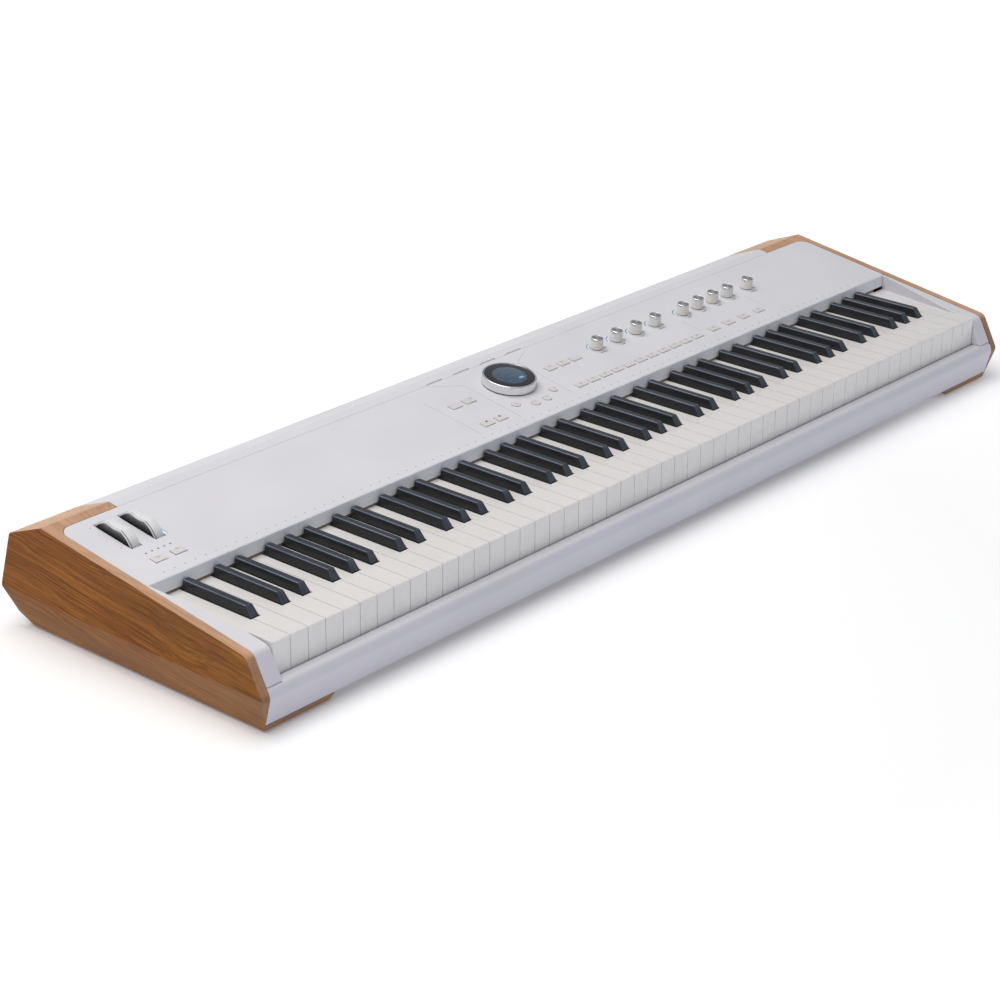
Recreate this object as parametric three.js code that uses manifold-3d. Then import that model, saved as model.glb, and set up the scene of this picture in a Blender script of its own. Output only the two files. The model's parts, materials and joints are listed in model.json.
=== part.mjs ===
// A stage piano: 88 keys in moulded combs between two faceted wooden end cheeks, under a sloping
// control panel with a display encoder, nine knobs, two wheels and seven groups of buttons.
// Millimetres, +Z up, +X to the player's right, +Y to the back. The origin is the middle of the
// footprint, on the floor.
import * as THREE from "three";
import { mergeVertices } from "three/addons/utils/BufferGeometryUtils.js";
import Module from "manifold-3d";

const wasm = await Module();
wasm.setup();

// Body outline, seen from the side
const footProud = 2.5;
const beltHeight = 38.1;
const frontTopDrop = 3.4;
const frontTopSetback = 21.5;
const frontTopRadius = 10;
const frontBottomSetback = 10;
const panelDepth = 130;
const rearDeckDepth = 12.8;
const creaseRise = 39.6;
const creaseSetback = 69.7;
const slopeDrop = 20.1;
const slopeEndSetback = 19;
const slopeEndRadius = 5;
const heelHeight = 11;
const heelSetback = 16;
const rearBottomSetback = 34;
const roundSteps = 5;
const edgeSteps = 3;

// Wooden cheeks
const cheekThickness = 10.5;
const cheekBeltRadius = 12;
const cheekRearRadius = 10;
const bottomLean = 11;
const slabThickness = 6.5;
const slabReach = 93;
const slabEndSlant = 7;
const cornerReach = 77.5;
const cornerDrop = 33.7;
const panelBed = 6;

// Keyboard layout. The lowest octave starts at a C and has an A and a B below it.
const octaves = 7;
const whitesPerOctave = 7;
const whitesBelowFirstC = 2;
const keyPitch = 23.5;
const keyGap = 0.9;
const outerSharpOffset = 3.72;
const pairSharpOffset = 2.18;

// White keys
const keyTopHeight = 82.1;
const keyFrontSetback = 18;
const visibleLength = 149.5;
const keyToPivot = 248;
const keyDip = 10;
const whiteFrontHeight = 36;
const keyBodyHeight = 20;
const keyWall = 1.6;
const keyTopWall = 2.5;
const keyFrontWall = 2;
const keyEdgeRadius = 1.2;
const keyEdgeSteps = 1;

// Black keys
const sharpStart = 51.8;
const sharpNoseSlope = 8;
const sharpHeight = 11;
const sharpBottomWidth = 11.5;
const sharpTopWidth = 8.9;
const sharpEdge = 1.2;
const sharpEndClearance = 2;
const sharpBodyDepth = 18;
const sharpFrontClearance = 1.5;

// Hinge rails at the rear of the combs, stacked one above another
const combLevels = 3;
const hingeRailDepth = 8;
const hingeRailHeight = 4;
const hingeRailGap = 0.6;
const topRailDrop = 2;
const tongueWidth = 9;
const tongueLength = 8;

// Clearances
const seat = 0.3;
const groove = 0.6;
const keySideClearance = 0.4;
const overrun = 5;

// White housing
const keyBlockWidth = 20.6;
const keyBlockRim = 2.5;
const keyBlockWallDepth = 115;
const keyBlockLedgeDrop = 0.6;
const seamRise = 9;
const railWall = 3;
const railTopEdgeRadius = 6;
const railBeltRadius = 12;
const railRearClearance = 1.2;
const railFlange = 22;
const panelWall = 2.5;
const panelCornerRadius = 15;
const fallboardLift = 3;
const fallboardRadius = 2;
const coverWall = 2.5;
const coverLedge = 6;
const coverLedgeInset = 20;
const creaseRadius = 3;
const musicSlotWidth = 26.4;
const musicSlotDepth = 2;
const musicSlotPitch = 45.3;
const musicSlotCount = 4;
const feltThickness = 2;
const feltDepth = 12;
const feltSetback = 0.6;

// Steel chassis
const trayWall = 1.5;
const trayFlange = 12;
const rearPlateInset = 6;
const rearPlateWall = 2;
const frameWall = 2;
const frameFront = 24;
const frameSideInset = 1;
const stopRailDepth = 14;
const stopRailClearance = 1;
const hingeLedgeDepth = 12;
const hingeLedgeClearance = 0.4;

// Rubber feet
const footRadius = 12;
const footInset = 48;
const footFrontInset = 34;
const footRearInset = 52;
const footSides = 16;

// Control rows, measured up the slope from the front edge of the panel
const knobRow = 81.2;
const encoderRow = 80.2;
const upperButtonRow = 78.1;
const lowerButtonRow = 29;
const sideButtonRow = 31;

// Buttons
const buttonWidth = 16;
const buttonLength = 10;
const bankButtonWidth = 17;
const bankButtonLength = 8;
const roundButtonRadius = 5.3;
const buttonSides = 12;
const buttonProud = 1.1;
const buttonHoleClearance = 0.35;
const carrierThickness = 1.5;
const carrierMargin = 2.5;
const buttonTravel = 1;
const menuButtonArc = 51.2;
const menuButtonAngles = [-38.8, -11, 11, 38.8];

// Knobs
const knobRadius = 7.9;
const knobTopRadius = 7.4;
const knobHeight = 13.5;
const knobGap = 0.8;
const knobChamfer = 0.8;
const knobRoof = 3.5;
const knobSides = 16;
const shaftRadius = 3;
const shaftSides = 8;

// Display encoder
const encoderX = -15.3;
const ringRadius = 31.5;
const ringWall = 2.4;
const ringHeight = 11.4;
const ringGap = 1.2;
const ringEdge = 0.7;
const lensInset = 0.5;
const displayStemRadius = 16;
const encoderPress = 0.8;
const encoderSides = 32;
const stemSides = 20;

// Control board under the panel
const boardClearance = 0.7;
const boardThickness = 1.6;
const boardSideMargin = 22;
const boardFront = 15;
const boardRear = 102;

// Pitch and modulation wheels
const wheelNames = ["pitch_wheel", "modulation_wheel"];
const wheelInset = 41;
const wheelPitch = 31.2;
const wheelSetback = 42;
const wheelRadius = 34;
const wheelProud = 13.3;
const wheelWidth = 12.6;
const wheelHubRadius = 7;
const wheelSectorAngle = 76;
const wheelSlotClearance = 0.7;
const wheelSlotEndClearance = 0.6;
const wheelSides = 32;
const scoopRadius = 32;
const scoopDepth = 3.1;
const scoopSides = 28;
const axleRadius = 3;
const axleSides = 10;
const bracketWall = 2;
const bracketTopLength = 52;
const bracketFootLength = 16;

// Rear connectors
const connectorHeight = 24;
const connectorDepth = 18;
const connectorCentreHeight = 52;
const socketPitch = 34;
const socketEndMargin = 18;
const socketFloor = 3;
const socketSides = 12;
const jackRadius = 3.25;
const dinRadius = 7.6;
const powerInletRadius = 3.4;
const usbWidth = 13.2;
const usbHeight = 5.7;
const powerButtonRadius = 5;
const powerButtonProud = 3;
const powerButtonLength = 14;
const powerButtonOffset = 40;
const powerButtonInset = 78;

const degrees = Math.PI / 180;
const mergeTolerance = 1e-4;

// Places and pitches along the panel are shares of half the housing's width
const wide = { width: buttonWidth, length: buttonLength };
const narrow = { width: bankButtonWidth, length: bankButtonLength };
const high = { row: upperButtonRow };
const low = { row: lowerButtonRow };
const aside = { row: sideButtonRow };
const buttonGroups = [
  { name: "octave_buttons", startShare: -0.93144, pitchShare: 0.04037, count: 2, ...aside, ...wide },
  { name: "layer_buttons", startShare: -0.17006, pitchShare: 0.03529, count: 2, ...high, ...wide },
  { name: "transport_buttons", startShare: -0.17116, pitchShare: 0.03529, count: 2, ...low, ...wide },
  { name: "mode_buttons", startShare: 0.08922, pitchShare: 0.03479, count: 3, ...high, ...wide },
  { name: "bank_buttons", startShare: 0.08593, pitchShare: 0.03457, count: 11, ...low, ...narrow },
  { name: "function_buttons", startShare: 0.48735, pitchShare: 0.0481, count: 4, ...aside, ...wide },
];
const knobGroups = [
  { startShare: 0.22608, pitchShare: 0.05822, count: 4 },
  { startShare: 0.48795, pitchShare: 0.04765, count: 4 },
  { startShare: 0.69669, pitchShare: 0, count: 1 },
];

// The rear sockets, from the middle outwards: power inlet, computer, storage, control in and out,
// two pedals, left and right output, headphones
const sockets = [
  { radius: powerInletRadius },
  { width: usbWidth, height: usbHeight },
  { width: usbWidth, height: usbHeight },
  { radius: dinRadius },
  { radius: dinRadius },
  { radius: jackRadius },
  { radius: jackRadius },
  { radius: jackRadius },
  { radius: jackRadius },
  { radius: jackRadius },
];

// Colours of the real finishes
const finishes = {
  wood: new THREE.MeshStandardMaterial({ color: 0x96603a, roughness: 0.5, metalness: 0 }),
  white: new THREE.MeshStandardMaterial({ color: 0xd9d8dc, roughness: 0.5, metalness: 0 }),
  whiteKey: new THREE.MeshStandardMaterial({ color: 0xdedbd6, roughness: 0.35, metalness: 0 }),
  blackKey: new THREE.MeshStandardMaterial({ color: 0x24272e, roughness: 0.45, metalness: 0 }),
  button: new THREE.MeshStandardMaterial({ color: 0xd8d6d0, roughness: 0.5, metalness: 0 }),
  knob: new THREE.MeshStandardMaterial({ color: 0xd6d4ce, roughness: 0.4, metalness: 0.1 }),
  ring: new THREE.MeshStandardMaterial({ color: 0xd9dadd, roughness: 0.3, metalness: 0.6 }),
  glass: new THREE.MeshStandardMaterial({ color: 0x15181d, roughness: 0.1, metalness: 0 }),
  darkPlastic: new THREE.MeshStandardMaterial({ color: 0x1d1e20, roughness: 0.6, metalness: 0 }),
  steel: new THREE.MeshStandardMaterial({ color: 0x9a9da1, roughness: 0.4, metalness: 0.9 }),
  felt: new THREE.MeshStandardMaterial({ color: 0x7a5c43, roughness: 0.95, metalness: 0 }),
  rubber: new THREE.MeshStandardMaterial({ color: 0x202020, roughness: 0.9, metalness: 0 }),
  circuit: new THREE.MeshStandardMaterial({ color: 0x1f5a3a, roughness: 0.5, metalness: 0.1 }),
};

const piano = new THREE.Group();

// A closed geometry as a solid that can be joined and cut
function solidOf(geometry) {
  const bare = geometry.index ? geometry.toNonIndexed() : geometry.clone();
  bare.deleteAttribute("normal");
  bare.deleteAttribute("uv");
  const merged = mergeVertices(bare, mergeTolerance);
  return new wasm.Manifold(new wasm.Mesh({
    numProp: 3,
    vertProperties: new Float32Array(merged.attributes.position.array),
    triVerts: new Uint32Array(merged.index.array),
  }));
}

function geometryOf(solid) {
  const mesh = solid.getMesh();
  const geometry = new THREE.BufferGeometry();
  geometry.setAttribute("position", new THREE.BufferAttribute(mesh.vertProperties, 3));
  geometry.setIndex(new THREE.BufferAttribute(mesh.triVerts, 1));
  geometry.computeVertexNormals();
  return geometry;
}

function join(solids) {
  return solids.reduce((whole, next) => whole.add(next));
}

function cut(solid, cutters) {
  return cutters.reduce((rest, cutter) => rest.subtract(cutter), solid);
}

function addPiece(name, solid, material, group = piano) {
  const mesh = new THREE.Mesh(geometryOf(solid), material);
  mesh.name = name;
  group.add(mesh);
}

// Outline helpers
function shapeOf(points) {
  return new THREE.Shape(points.map(([a, b]) => new THREE.Vector2(a, b)));
}

// Replaces a corner by an arc that touches both of its sides and takes half of either at most
function roundedCorner(before, corner, after, radius, steps) {
  const c = new THREE.Vector2(...corner);
  const toBefore = new THREE.Vector2(...before).sub(c);
  const toAfter = new THREE.Vector2(...after).sub(c);
  const half = Math.acos(toBefore.dot(toAfter) / (toBefore.length() * toAfter.length())) / 2;
  const reach = Math.min(radius / Math.tan(half), toBefore.length() / 2, toAfter.length() / 2);
  const bisector = toBefore.clone().normalize().add(toAfter.clone().normalize()).normalize();
  const centre = c.clone().addScaledVector(bisector, reach / Math.cos(half));
  const start = c.clone().add(toBefore.setLength(reach)).sub(centre);
  const end = c.clone().add(toAfter.setLength(reach)).sub(centre);
  const sweep = Math.atan2(start.cross(end), start.dot(end));
  const points = [];
  for (let step = 0; step <= steps; step += 1) {
    const turned = start.clone().rotateAround(new THREE.Vector2(), (sweep * step) / steps);
    points.push([centre.x + turned.x, centre.y + turned.y]);
  }
  return points;
}

function extruded(points, length) {
  return new THREE.ExtrudeGeometry(shapeOf(points), { depth: length, bevelEnabled: false });
}

// A profile drawn in (y, z), drawn out along X
function alongX(points, from, to) {
  const geometry = extruded(points, to - from);
  geometry.applyMatrix4(new THREE.Matrix4().set(0, 0, 1, from, 1, 0, 0, 0, 0, 1, 0, 0, 0, 0, 0, 1));
  return solidOf(geometry);
}

// A profile drawn in (x, z), drawn out along Y
function alongY(points, from, to) {
  const geometry = extruded(points, to - from);
  geometry.applyMatrix4(new THREE.Matrix4().set(1, 0, 0, 0, 0, 0, -1, to, 0, 1, 0, 0, 0, 0, 0, 1));
  return solidOf(geometry);
}

// A plan drawn in (x, y), drawn out along Z
function alongZ(points, from, to) {
  const geometry = extruded(points, to - from);
  geometry.translate(0, 0, from);
  return solidOf(geometry);
}

function box(x0, x1, y0, y1, z0, z1) {
  const geometry = new THREE.BoxGeometry(x1 - x0, y1 - y0, z1 - z0);
  geometry.translate((x0 + x1) / 2, (y0 + y1) / 2, (z0 + z1) / 2);
  return solidOf(geometry);
}

// A box round a centre, from its size along X and along Y
function block(x, y, width, length, from, to) {
  return box(x - width / 2, x + width / 2, y - length / 2, y + length / 2, from, to);
}

function disc(x, y, radius, from, to, sides) {
  const geometry = new THREE.CylinderGeometry(radius, radius, to - from, sides);
  geometry.rotateX(Math.PI / 2);
  geometry.translate(x, y, (from + to) / 2);
  return solidOf(geometry);
}

function rodAlongX(y, z, radius, from, to, sides) {
  const geometry = new THREE.CylinderGeometry(radius, radius, to - from, sides);
  geometry.rotateZ(Math.PI / 2);
  geometry.translate((from + to) / 2, y, z);
  return solidOf(geometry);
}

function rodAlongY(x, z, radius, from, to, sides) {
  const geometry = new THREE.CylinderGeometry(radius, radius, to - from, sides);
  geometry.translate(x, (from + to) / 2, z);
  return solidOf(geometry);
}

// A turned form about an upright axis, from (radius, height) points that close on themselves or
// start and end on the axis
function turned(points, x, y, sides) {
  const geometry = new THREE.LatheGeometry(points.map(([r, z]) => new THREE.Vector2(r, z)), sides);
  geometry.rotateX(Math.PI / 2);
  geometry.translate(x, y, 0);
  return solidOf(geometry);
}

// Places that the whole body shares
const whiteKeys = whitesBelowFirstC + whitesPerOctave * octaves + 1;
const base = footProud;
const depth = keyFrontSetback + visibleLength + panelDepth + rearDeckDepth + creaseSetback;
const front = -depth / 2;
const rear = depth / 2;
const belt = base + beltHeight;
const keyTop = base + keyTopHeight;
const keyboardHalf = (whiteKeys * keyPitch) / 2;
const blockInner = keyboardHalf + keySideClearance;
const housingHalf = blockInner + keyBlockWidth;
const cheekInner = housingHalf + seat;
const cheekOuter = cheekInner + cheekThickness;
const slabTop = base + slabThickness;
const housingFloor = slabTop + seat;
const frontTop = [front + frontTopSetback, keyTop - frontTopDrop];
const crease = [rear - creaseSetback, keyTop + creaseRise];
const slopeEnd = [rear - slopeEndSetback, crease[1] - slopeDrop];
const tilt = Math.atan2(crease[1] - frontTop[1], crease[0] - frontTop[0]);
const keyFront = front + keyFrontSetback;
const fallboard = keyFront + visibleLength;
const pivotY = keyFront + keyToPivot;
const seam = belt + seamRise;
const blockUnderside = crease[1] - cornerDrop;
const coverEnd = cheekInner - cornerReach;
const rearPlateFace = slopeEnd[0] - rearPlateInset + rearPlateWall;

// The deck frame: X along the piano, Y up the slope of the top face, Z out of it
const panelFront = (fallboard - frontTop[0]) / Math.cos(tilt);
const creaseRun = Math.hypot(crease[0] - frontTop[0], crease[1] - frontTop[1]);
const panelRear = panelFront + panelDepth / Math.cos(tilt);
const carrierTop = -panelWall - seat;
const boardTop = carrierTop - carrierThickness - buttonTravel - boardClearance;
const deckMatrix = new THREE.Matrix4().makeRotationX(tilt).setPosition(0, frontTop[0], frontTop[1]);
const deck = new THREE.Group();
deck.applyMatrix4(deckMatrix);
piano.add(deck);

// The (y, z) of a point that lies a run up the slope and a height above the top face
function deckPoint(run, height) {
  return [
    frontTop[0] + run * Math.cos(tilt) - height * Math.sin(tilt),
    frontTop[1] + run * Math.sin(tilt) + height * Math.cos(tilt),
  ];
}

function onDeck(solid) {
  const geometry = geometryOf(solid);
  geometry.applyMatrix4(deckMatrix);
  return solidOf(geometry);
}

// The body's front face at a height, above the belt and below it
function upperFrontFaceAt(z) {
  return front + (frontTopSetback * (z - belt)) / (frontTop[1] - belt);
}

function lowerFrontFaceAt(z) {
  return front + (frontBottomSetback * (belt - z)) / (belt - base);
}

function bodyOutline() {
  const bottomFront = [front + frontBottomSetback, base];
  const beltFront = [front, belt];
  const beltRear = [rear, belt];
  const heel = [rear - heelSetback, base + heelHeight];
  return [
    bottomFront,
    ...roundedCorner(bottomFront, beltFront, frontTop, cheekBeltRadius, edgeSteps),
    ...roundedCorner(beltFront, frontTop, crease, frontTopRadius, roundSteps),
    crease,
    ...roundedCorner(crease, slopeEnd, beltRear, slopeEndRadius, edgeSteps),
    ...roundedCorner(slopeEnd, beltRear, heel, cheekRearRadius, edgeSteps),
    heel,
    [rear - rearBottomSetback, base],
  ];
}

// The panel's plan in the deck frame, grown all round by a clearance
function panelPlan(grow) {
  const half = housingHalf + grow;
  const back = panelRear + grow;
  const corner = panelCornerRadius + grow;
  return [
    [-half, -overrun],
    [half, -overrun],
    ...roundedCorner([half, 0], [half, back], [0, back], corner, roundSteps),
    ...roundedCorner([0, back], [-half, back], [-half, 0], corner, roundSteps),
  ];
}

// Wooden end cheeks: a prism of the body outline, hollowed for the housing and bedded for the panel
function housingSpace(from, to) {
  const bedBack = deckPoint(panelRear + seat, -panelBed);
  const bedFront = deckPoint(-frontTopSetback - 2 * overrun, -panelBed);
  const space = [
    [bedFront[0], slabTop],
    [rear + overrun, slabTop],
    [rear + overrun, blockUnderside],
    [bedBack[0], blockUnderside],
    bedBack,
    bedFront,
  ];
  return alongX(space, from, to);
}

// Takes the outer face back below the belt
function leanCutter(side) {
  const outside = cheekOuter + overrun;
  const below = base - overrun;
  const leanBelow = cheekOuter - (bottomLean * (belt - below)) / (belt - base);
  const wedge = [[cheekOuter, belt], [leanBelow, below], [outside, below], [outside, belt]];
  return alongY(wedge.map(([x, z]) => [side * x, z]), front - overrun, rear + overrun);
}

function slabEndCutter(side, slabEnd) {
  const below = base - overrun;
  const endBelow = slabEnd + (slabEndSlant * (slabTop - below)) / slabThickness;
  const inside = slabEnd - overrun;
  const wedge = [[slabEnd, slabTop], [endBelow, below], [inside, below], [inside, slabTop]];
  return alongY(wedge.map(([x, z]) => [side * x, z]), front - overrun, rear + overrun);
}

function makeCheek(side) {
  const slabEnd = cheekInner - slabReach;
  const span = (a, b) => [Math.min(side * a, side * b), Math.max(side * a, side * b)];
  const body = alongX(bodyOutline(), ...span(slabEnd, cheekOuter));
  return cut(body, [
    housingSpace(...span(0, cheekInner)),
    onDeck(alongZ(panelPlan(seat), -panelBed - overrun, overrun)),
    box(...span(0, coverEnd), front - overrun, rear + overrun, slabTop, crease[1] + overrun),
    leanCutter(side),
    slabEndCutter(side, slabEnd),
  ]);
}

function makeCheeks() {
  addPiece("left_cheek", makeCheek(-1), finishes.wood);
  addPiece("right_cheek", makeCheek(1), finishes.wood);
}

function makeFoot(name, x, y) {
  addPiece(name, disc(x, y, footRadius, 0, base, footSides), finishes.rubber);
}

function makeFeet() {
  const x = cheekInner - footInset;
  const frontY = front + footFrontInset;
  const rearY = rear - footRearInset;
  makeFoot("front_left_foot", -x, frontY);
  makeFoot("rear_left_foot", -x, rearY);
  makeFoot("front_right_foot", x, frontY);
  makeFoot("rear_right_foot", x, rearY);
}

// White key blocks beside the keys
function keyBlockOutline() {
  const top = deckPoint(panelFront - seat, 0);
  const bottom = [upperFrontFaceAt(seam + seat), seam + seat];
  return [
    bottom,
    ...roundedCorner(bottom, frontTop, top, frontTopRadius, roundSteps),
    [fallboard - seat, top[1]],
    [fallboard - seat, seam + seat],
  ];
}

// The space over the ledge beside the end keys, whose wall runs aslant to the panel's corner
function ledgeSpace() {
  const wallFront = new THREE.Vector2(blockInner, fallboard - keyBlockWallDepth);
  const wallRear = new THREE.Vector2(housingHalf - keyBlockRim, fallboard);
  const along = wallRear.clone().sub(wallFront).setLength(overrun);
  const from = wallFront.sub(along);
  const to = wallRear.add(along);
  const plan = [
    [from.x, from.y],
    [to.x, to.y],
    [blockInner - overrun, to.y],
    [blockInner - overrun, from.y],
  ];
  return alongZ(plan, keyTop - keyBlockLedgeDrop, crease[1]);
}

function makeKeyBlocks() {
  const right = cut(alongX(keyBlockOutline(), blockInner, housingHalf), [ledgeSpace()]);
  addPiece("left_key_block", right.mirror([1, 0, 0]), finishes.white);
  addPiece("right_key_block", right, finishes.white);
}

// Front rail: an open channel that swells at the belt and closes the case under the keys
const railEnd = front + frontBottomSetback + railFlange;

function railFace(inset) {
  const topRear = [keyFront - railRearClearance, seam - inset];
  const topFront = [upperFrontFaceAt(seam) + inset, seam - inset];
  const beltFront = [front + inset, belt];
  const bottomFront = [lowerFrontFaceAt(housingFloor) + inset, housingFloor + inset];
  return [
    topRear,
    ...roundedCorner(topRear, topFront, beltFront, railTopEdgeRadius - inset, edgeSteps),
    ...roundedCorner(topFront, beltFront, bottomFront, railBeltRadius - inset, roundSteps),
    bottomFront,
  ];
}

function makeFrontRail() {
  const outline = [
    ...railFace(0),
    [railEnd, housingFloor],
    [railEnd, housingFloor + railWall],
    ...railFace(railWall).reverse(),
  ];
  addPiece("front_rail", alongX(outline, -housingHalf, housingHalf), finishes.white);
}

// Centres of a row of controls, from shares of half the housing's width
function rowCentres(group, row) {
  const centres = [];
  for (let i = 0; i < group.count; i += 1) {
    centres.push([housingHalf * (group.startShare + group.pitchShare * i), panelFront + row]);
  }
  return centres;
}

function menuButtonCentres() {
  return menuButtonAngles.map((angle) => [
    encoderX + menuButtonArc * Math.sin(angle * degrees),
    panelFront + encoderRow - menuButtonArc * Math.cos(angle * degrees),
  ]);
}

function knobCentres() {
  return knobGroups.flatMap((group) => rowCentres(group, knobRow));
}

// The strip under the panel that a group of buttons stands on
function carrier(centres, width, length) {
  const xs = centres.map(([x]) => x);
  const ys = centres.map(([, y]) => y);
  const reachX = width / 2 + carrierMargin;
  const reachY = length / 2 + carrierMargin;
  return box(
    Math.min(...xs) - reachX, Math.max(...xs) + reachX,
    Math.min(...ys) - reachY, Math.max(...ys) + reachY,
    carrierTop - carrierThickness, carrierTop,
  );
}

function makeButtonGroup(group) {
  const centres = rowCentres(group, group.row);
  const foot = carrierTop - carrierThickness / 2;
  const caps = centres.map(([x, y]) => block(x, y, group.width, group.length, foot, buttonProud));
  const strip = carrier(centres, group.width, group.length);
  addPiece(group.name, join([strip, ...caps]), finishes.button, deck);
}

function makeMenuButtons() {
  const centres = menuButtonCentres();
  const foot = carrierTop - carrierThickness / 2;
  const caps = centres.map(([x, y]) => disc(x, y, roundButtonRadius, foot, buttonProud, buttonSides));
  const strip = carrier(centres, 2 * roundButtonRadius, 2 * roundButtonRadius);
  addPiece("menu_buttons", join([strip, ...caps]), finishes.button, deck);
}

// Knobs: slightly tapered caps with a broken top edge, hollow underneath for their shafts
function makeKnobs() {
  const bore = shaftRadius + seat;
  const profile = [
    [bore, knobGap],
    [knobRadius, knobGap],
    [knobTopRadius, knobHeight - knobChamfer],
    [knobTopRadius - knobChamfer, knobHeight],
    [0, knobHeight],
    [0, knobHeight - knobRoof],
    [bore, knobHeight - knobRoof],
    [bore, knobGap],
  ];
  knobCentres().forEach(([x, y], index) => {
    addPiece(`knob_${index + 1}`, turned(profile, x, y, knobSides), finishes.knob, deck);
  });
}

// Places of the two wheels, which share an axle
const wheelCentres = wheelNames.map((name, index) => -housingHalf + wheelInset + wheelPitch * index);
const wheelMiddle = panelRear - wheelSetback;
const wheelDrop = wheelRadius - wheelProud;

// Top panel with its fallboard lip
const lipDrop = deckPoint(panelFront, 0)[1] - (keyTop + fallboardLift);

function panelSection() {
  const top = [panelFront, 0];
  const lipEnd = [panelFront - Math.sin(tilt) * lipDrop, -Math.cos(tilt) * lipDrop];
  const inwardRun = Math.cos(tilt) * panelWall;
  const inwardDrop = Math.sin(tilt) * panelWall;
  return [
    ...roundedCorner(lipEnd, top, [panelRear, 0], fallboardRadius, edgeSteps),
    [panelRear, 0],
    [panelRear, -panelWall],
    [panelFront + inwardRun, -panelWall],
    [lipEnd[0] + inwardRun, lipEnd[1] - inwardDrop],
    lipEnd,
  ];
}

function panelHole(x, y, radius, sides) {
  return disc(x, y, radius, -panelWall - overrun, overrun, sides);
}

function buttonHoles() {
  const floor = -panelWall - overrun;
  const squareHoles = buttonGroups.flatMap((group) => {
    const width = group.width + 2 * buttonHoleClearance;
    const length = group.length + 2 * buttonHoleClearance;
    return rowCentres(group, group.row).map(([x, y]) => block(x, y, width, length, floor, overrun));
  });
  const radius = roundButtonRadius + buttonHoleClearance;
  const roundHoles = menuButtonCentres().map(([x, y]) => panelHole(x, y, radius, buttonSides));
  return [...squareHoles, ...roundHoles];
}

function wheelSlots() {
  const width = wheelWidth + 2 * wheelSlotClearance;
  const chord = Math.sqrt(wheelRadius ** 2 - (wheelDrop - panelWall) ** 2);
  const length = 2 * (chord + wheelSlotEndClearance);
  const floor = -panelWall - overrun;
  return wheelCentres.map((x) => block(x, wheelMiddle, width, length, floor, overrun));
}

function makeTopPanel() {
  const plate = alongX(panelSection(), -housingHalf, housingHalf);
  const rounded = plate.intersect(alongZ(panelPlan(0), -lipDrop - overrun, overrun));
  const shaftHoles = knobCentres().map(([x, y]) => panelHole(x, y, shaftRadius + seat, shaftSides));
  const stemHole = panelHole(encoderX, panelFront + encoderRow, displayStemRadius + seat, stemSides);
  const panel = cut(rounded, [...buttonHoles(), ...shaftHoles, stemHole, ...wheelSlots()]);
  addPiece("top_panel", panel, finishes.white, deck);
}

// Display encoder: a ring that turns round the display, which can be pressed
function makeEncoder() {
  const y = panelFront + encoderRow;
  const inner = ringRadius - ringWall;
  const ringProfile = [
    [inner, ringGap],
    [ringRadius, ringGap],
    [ringRadius, ringHeight - ringEdge],
    [ringRadius - ringEdge, ringHeight],
    [inner, ringHeight],
    [inner, ringGap],
  ];
  addPiece("display_ring", turned(ringProfile, encoderX, y, encoderSides), finishes.ring, deck);
  const displayRadius = inner - seat;
  const stemEnd = boardTop + encoderPress + seat;
  const lensTop = ringHeight - lensInset;
  const stem = disc(encoderX, y, displayStemRadius, stemEnd, lensTop, stemSides);
  const head = disc(encoderX, y, displayRadius, ringGap, lensTop, encoderSides);
  addPiece("display", join([stem, head]), finishes.glass, deck);
}

// Control board under the panel, with the shafts that carry the knobs
function makeControlBoard() {
  const knobs = knobCentres();
  const boardStart = buttonGroups.find((group) => group.name === "transport_buttons").startShare;
  const left = housingHalf * boardStart - boardSideMargin;
  const right = knobs[knobs.length - 1][0] + boardSideMargin;
  const underside = boardTop - boardThickness;
  const plate = box(left, right, panelFront + boardFront, panelFront + boardRear, underside, boardTop);
  const shaftFoot = boardTop - boardThickness / 2;
  const shaftEnd = knobHeight - knobRoof - seat;
  const shafts = knobs.map(([x, y]) => disc(x, y, shaftRadius, shaftFoot, shaftEnd, shaftSides));
  addPiece("control_board", join([plate, ...shafts]), finishes.circuit, deck);
}

// Wheels: sectors with a finger scoop, side by side on one axle
function makeWheel(name, x) {
  const half = wheelWidth / 2;
  const from = x - half - overrun;
  const to = x + half + overrun;
  const rim = rodAlongX(wheelMiddle, -wheelDrop, wheelRadius, x - half, x + half, wheelSides);
  const reach = wheelRadius + overrun;
  const sideways = reach * Math.sin(wheelSectorAngle * degrees);
  const upwards = reach * Math.cos(wheelSectorAngle * degrees);
  const lower = [
    [wheelMiddle, -wheelDrop],
    [wheelMiddle + sideways, -wheelDrop + upwards],
    [wheelMiddle + reach, -wheelDrop - reach],
    [wheelMiddle - reach, -wheelDrop - reach],
    [wheelMiddle - sideways, -wheelDrop + upwards],
  ];
  const scoopHeight = wheelProud - scoopDepth + scoopRadius;
  const scoop = rodAlongX(wheelMiddle, scoopHeight, scoopRadius, from, to, scoopSides);
  const sector = cut(rim, [alongX(lower, from, to), scoop]);
  const hub = rodAlongX(wheelMiddle, -wheelDrop, wheelHubRadius, x - half, x + half, axleSides);
  const bore = rodAlongX(wheelMiddle, -wheelDrop, axleRadius + seat, from, to, axleSides);
  addPiece(name, cut(join([sector, hub]), [bore]), finishes.knob, deck);
}

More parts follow.
